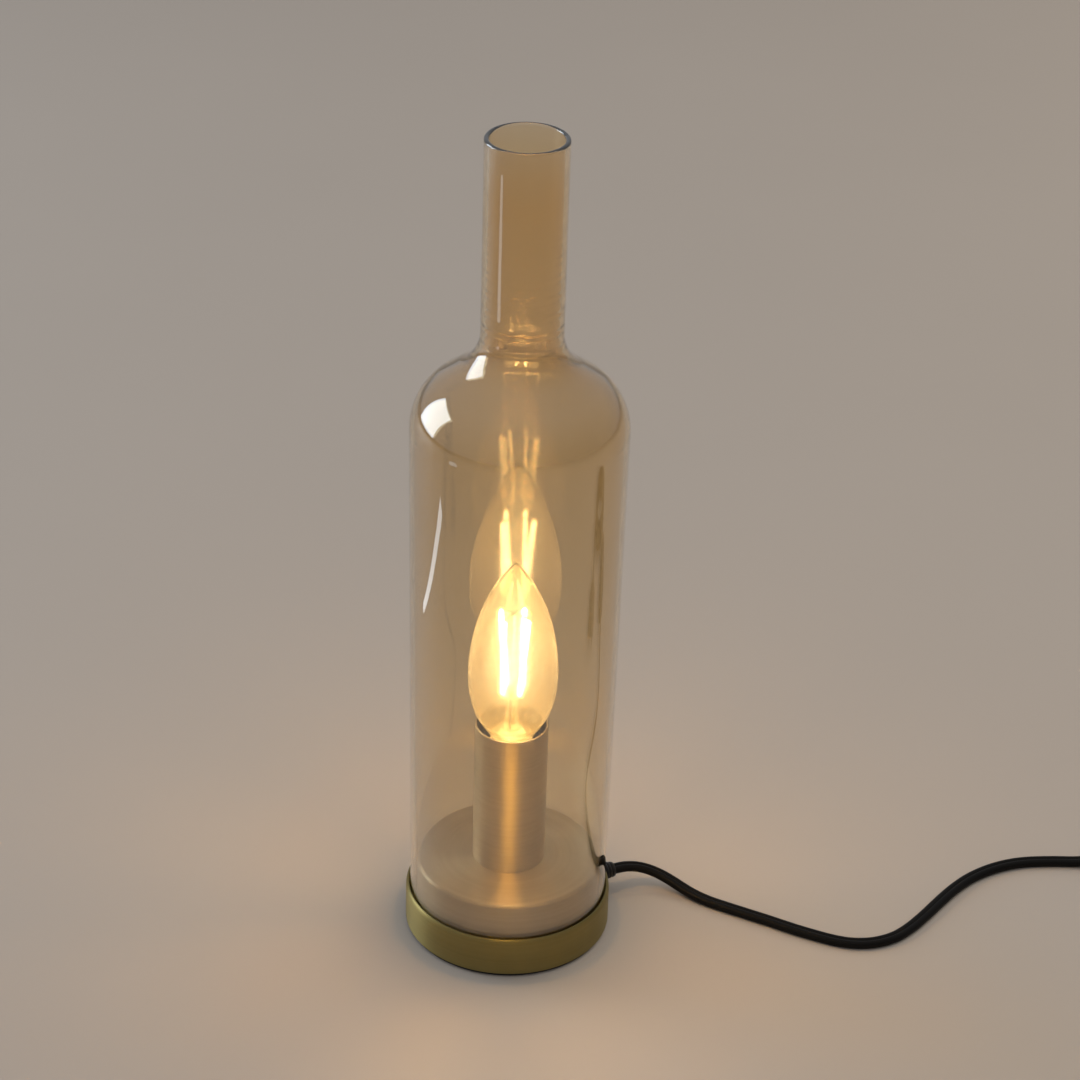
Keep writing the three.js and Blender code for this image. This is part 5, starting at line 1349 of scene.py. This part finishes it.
class LAMP_OT_cord(Operator):
    """Lay the cord from the bush to the switch and round the coil to the plug"""

    bl_idname = "bottle_lamp.cord"
    bl_label = "Cord"

    def execute(self, context):
        s = sizes()
        route = [polar(BUSH_TIP, BUSH_ANGLE) + Vector(offset) for offset in LEAD_OFFSETS]
        inside, sunk, step = Vector((0.0035, 0, 0)), 0.002, 0.0015
        lead_line = [route[0] - polar(sunk, BUSH_ANGLE)] + smooth_line(route, step) + [route[-1] + inside]
        section = twin_section(s.cord_width, s.cord_thickness, 10)
        lead = sweep(lead_line, section)
        settle(lead, "lead_cord", "cord_plastic", "cord_lead", angle=SOFT_ANGLE)
        switch_end = Vector((high_of("switch_base").x + FIT_GAP, route[-1].y, route[-1].z))
        plug_back = middle_of("plug_body")
        plug_back.x = high_of("plug_body").x + FIT_GAP
        line = coil_line(switch_end, plug_back, 72)
        coil_path = [switch_end - inside] + line + [plug_back - Vector((sunk, 0, 0))]
        coil = sweep(coil_path, section)
        settle(coil, "coil_cord", "cord_plastic", "cord_coil", angle=SOFT_ANGLE)
        return {"FINISHED"}


class LAMP_OT_wiring(Operator):
    """Lay the sheath and the two wires inside the base"""

    bl_idname = "bottle_lamp.wiring"
    bl_label = "Inner Wiring"

    def execute(self, context):
        s = sizes()
        height = middle_of("cord_bush").z
        turn_out = Matrix.Rotation(BUSH_ANGLE, 4, "Z")
        sheath_end = 0.0136
        line = divided((bush_tail()[0], 0, height), (sheath_end, 0, height), 8) + [(sheath_end, 0, height)]
        sheath = sweep([turn_out @ Vector(p) for p in line], twin_section(s.cord_width, s.cord_thickness, 8))
        settle(sheath, "inner_sheath", "cord_plastic", "inner_cord_sheath")
        nipple_low, nipple_high = low_of("threaded_nipple").z, high_of("threaded_nipple").z
        under = (low_of("base_dish").z + nipple_low) / 2
        top = low_of("terminal_brown").z
        plinth_top, holder_floor = high_of("plinth_drum").z, low_of("holder_cap").z + HOLDER_FLOOR
        start, bend = sheath_end - FIT_GAP, 0.005
        for side, name, node, slot in (
            (1, "live_wire", "wire_brown", "brown_wire"), (-1, "neutral_wire", "wire_blue", "blue_wire"),
        ):
            near, far = side * 0.0013, side * 0.0046
            route = [
                (start, near, height), (start - 0.001, near, height),
                ((sheath_end + bend) / 2, near, (height + under) / 2), (bend, near, under),
                (0.0013, near, (under + nipple_low) / 2), (0, near, nipple_low + 0.003),
                (0, near, plinth_top), (0, near, holder_floor), (0, near * 1.4, nipple_high),
                (0, far, top - 0.001), (0, far, top - FIT_GAP),
            ]
            line = smooth_line([turn_out @ Vector(p) for p in route], 0.0008)
            wire = sweep(line, round_section(WIRE_RADIUS, 14))
            settle(wire, name, slot, node, angle=SOFT_ANGLE)
        return {"FINISHED"}


class LAMP_OT_inner_finishes(Operator):
    """Dress the pieces of the frame that keep their own shape"""

    bl_idname = "bottle_lamp.inner_finishes"
    bl_label = "Inner Finishes"

    def execute(self, context):
        for part in frame["record"]["subparts"]:
            piece = bpy.data.objects[part["node"]]
            if piece.hide_render:
                continue
            piece.data.materials.clear()
            piece.data.materials.append(finish(part["material_slot"]))
        return {"FINISHED"}


class LAMP_OT_stage(Operator):
    """Set the floor, the soft lights, the world and the camera"""

    bl_idname = "bottle_lamp.stage"
    bl_label = "Stage"

    def execute(self, context):
        scene = context.scene
        scene.view_settings.view_transform = "Standard"
        self.add_floor()
        self.add_lights()
        self.add_cards()
        self.add_world(scene)
        self.add_camera(scene)
        scene.cycles.max_bounces = 48
        scene.cycles.transmission_bounces = 48
        scene.cycles.transparent_max_bounces = 24
        scene.cycles.glossy_bounces = 10
        return {"FINISHED"}

    def add_floor(self):
        """Lay a plain pale floor."""
        start_clean()
        bpy.ops.mesh.primitive_plane_add(size=12, location=(0, 2.0, 0))
        floor = bpy.context.object
        floor.name = "floor"
        bpy.ops.object.transform_apply()
        material, tree, shader = new_material("Pale Floor")
        tone = shades(tree, patchy(tree, 3.0), colours().floor, 0.985, 1.015)
        feed(tree, shader, {"Base Color": tone, "Roughness": 0.6})
        floor.data.materials.append(material)

    def add_lights(self):
        """Hang a cool window, a ceiling and a warm fill, and the bulb's image."""
        aim = Vector((0, 0, 0.2))
        self.add_light("window", (1.0, 1.2), 13.0, (0.80, 0.90, 1.0), (-1.62, 0.64, 0.72), aim)
        ceiling = self.add_light("ceiling", (1.8, 1.8), 7.0, (1.0, 0.98, 0.96), (0.3, -0.4, 1.6), aim)
        fill = self.add_light("fill", (1.4, 1.4), 12.0, (1.0, 0.83, 0.60), (1.3, 0.9, 1.3), aim)
        for lamp in (ceiling, fill):
            lamp.visible_glossy = lamp.visible_transmission = False
        self.add_bulb_image()

    def add_bulb_image(self):
        """The bulb's mirror image in the front of the glass, which lights the brushed sleeve."""
        place = (0, 2 * low_of("glass_bottle").y, middle_of("filament_1").z)
        sleeve = Vector((0, low_of("lamp_sleeve").y, middle_of("lamp_sleeve").z))
        image = self.add_light("bulb_image", (0.045, 0.036), 0.027, (1.0, 0.62, 0.13), place, sleeve)
        image.data.spread = math.radians(46)
        image.visible_diffuse = image.visible_transmission = False

    def add_cards(self):
        """Pale cards on the floor, out of the picture, that show only as streaks in the glass."""
        body = ((-0.3725, -0.0552), (-0.2532, 0.0937), (-0.2608, 0.1003), (-0.3935, -0.0368))
        neck = ((-0.511, -0.271), (-0.549, -0.179), (-0.749, -0.259), (-0.711, -0.351))
        lift = 0.001
        for name, strength, corners in (("card_body", 1.7, body), ("card_neck", 0.75, neck)):
            card = draw_chain([(x, 0) for x, _ in corners])
            set_mode("OBJECT")
            for vertex, (x, y) in zip(card.data.vertices, corners):
                vertex.co = (x, y, lift)
            set_mode("EDIT")
            select_all()
            bpy.ops.mesh.edge_face_add()
            set_mode("OBJECT")
            card.name = name
            card.data.materials.append(self.card_finish(strength))
            card.visible_camera = card.visible_diffuse = False
            card.visible_transmission = card.visible_shadow = False

    def card_finish(self, strength):
        """Pale glow on a card's upper side alone."""
        material, tree, shader = new_material("Pale Card")
        feed(tree, shader, {
            "Emission Color": blended(tree, patchy(tree, 5.0), (0.80, 0.88, 0.95), (0.88, 0.95, 1.0)),
            "Emission Strength": strength,
        })
        back = add_node(tree, "ShaderNodeNewGeometry").outputs["Backfacing"]
        mix_surfaces(tree, back, shader, add_node(tree, "ShaderNodeBsdfTransparent"))
        return material

    def add_light(self, name, size, power, colour, place, aim):
        """A soft rectangle of light at a place, turned to a point."""
        light = bpy.data.lights.new(name, "AREA")
        light.shape = "RECTANGLE"
        light.size, light.size_y = size
        light.energy = power
        light.color = colour
        lamp = bpy.data.objects.new(name, light)
        lamp.visible_camera = False
        lamp.location = place
        lamp.rotation_euler = (aim - Vector(place)).to_track_quat("-Z", "Y").to_euler()
        bpy.context.collection.objects.link(lamp)
        return lamp

    def add_world(self, scene):
        """A dim room that is paler and cooler up towards the window."""
        world = bpy.data.worlds.new("Soft Room")
        scene.world = world
        world.use_nodes = True
        tree = world.node_tree
        place = add_node(tree, "ShaderNodeTexCoord").outputs["Generated"]
        pale_way = Vector((-0.45, 0.55, 0.7)).normalized()
        facing = add_node(tree, "ShaderNodeVectorMath", {0: place, 1: pale_way}, operation="DOT_PRODUCT")
        share = add_node(tree, "ShaderNodeMapRange", {
            "Value": facing.outputs["Value"], "From Min": -0.6, "From Max": 1.0,
        })
        tone = blended(tree, share.outputs["Result"], (0.19, 0.175, 0.16), (0.41, 0.42, 0.44))
        feed(tree, tree.nodes["Background"], {"Color": tone})

    def add_camera(self, scene):
        """The camera as it was fitted to the picture: its place, its turn and its long lens."""
        place = (0, -0.97975, 0.73617)
        pan, pitch, roll = 0.0089, 0.5201, 0.0314
        focal_pixels, picture_pixels = 3003.6, 1080
        forward = Vector((
            math.sin(pan) * math.cos(pitch), math.cos(pan) * math.cos(pitch), -math.sin(pitch),
        ))
        right = Vector((math.cos(pan), -math.sin(pan), 0))
        up = right.cross(forward)
        tilted_right = math.cos(roll) * right + math.sin(roll) * up
        tilted_up = -math.sin(roll) * right + math.cos(roll) * up
        turn_to = Matrix((tilted_right, tilted_up, -forward)).transposed().to_4x4()
        data = bpy.data.cameras.new("camera")
        data.sensor_width = 36.0
        data.lens = focal_pixels / picture_pixels * data.sensor_width
        data.clip_start, data.clip_end = 0.01, 50
        camera = bpy.data.objects.new("camera", data)
        camera.matrix_world = Matrix.Translation(place) @ turn_to
        bpy.context.collection.objects.link(camera)
        scene.camera = camera


PIECES = (
    LAMP_OT_stage, LAMP_OT_bush, LAMP_OT_switch, LAMP_OT_plug, LAMP_OT_tie, LAMP_OT_cord, LAMP_OT_wiring,
    LAMP_OT_bottle, LAMP_OT_dish, LAMP_OT_plinth, LAMP_OT_holder, LAMP_OT_bulb_glass, LAMP_OT_filaments,
    LAMP_OT_bulb_cap, LAMP_OT_inner_finishes,
)


class LAMP_PT_sidebar(Panel):
    """Lists the lamp's pieces, sizes and colours."""

    bl_idname = "LAMP_PT_sidebar"
    bl_label = "Bottle Lamp"
    bl_space_type = "VIEW_3D"
    bl_region_type = "UI"
    bl_category = "Bottle Lamp"

    def draw(self, context):
        column = self.layout.column(align=True)
        for piece in PIECES:
            column.operator(piece.bl_idname)
        for group in (context.scene.bottle_lamp_sizes, context.scene.bottle_lamp_colours):
            box = self.layout.box()
            for key in group.__annotations__:
                box.prop(group, key)


CLASSES = (LampSizes, LampColours) + PIECES + (LAMP_PT_sidebar,)


def register():
    for item in CLASSES:
        bpy.utils.register_class(item)
    bpy.types.Scene.bottle_lamp_sizes = PointerProperty(type=LampSizes)
    bpy.types.Scene.bottle_lamp_colours = PointerProperty(type=LampColours)


def unregister():
    del bpy.types.Scene.bottle_lamp_colours
    del bpy.types.Scene.bottle_lamp_sizes
    for item in reversed(CLASSES):
        bpy.utils.unregister_class(item)


def main():
    """Register the pieces and make them in order."""
    register()
    for piece in PIECES:
        group, name = piece.bl_idname.split(".")
        getattr(getattr(bpy.ops, group), name)()
    start_clean()


if __name__ == "__main__":
    main()
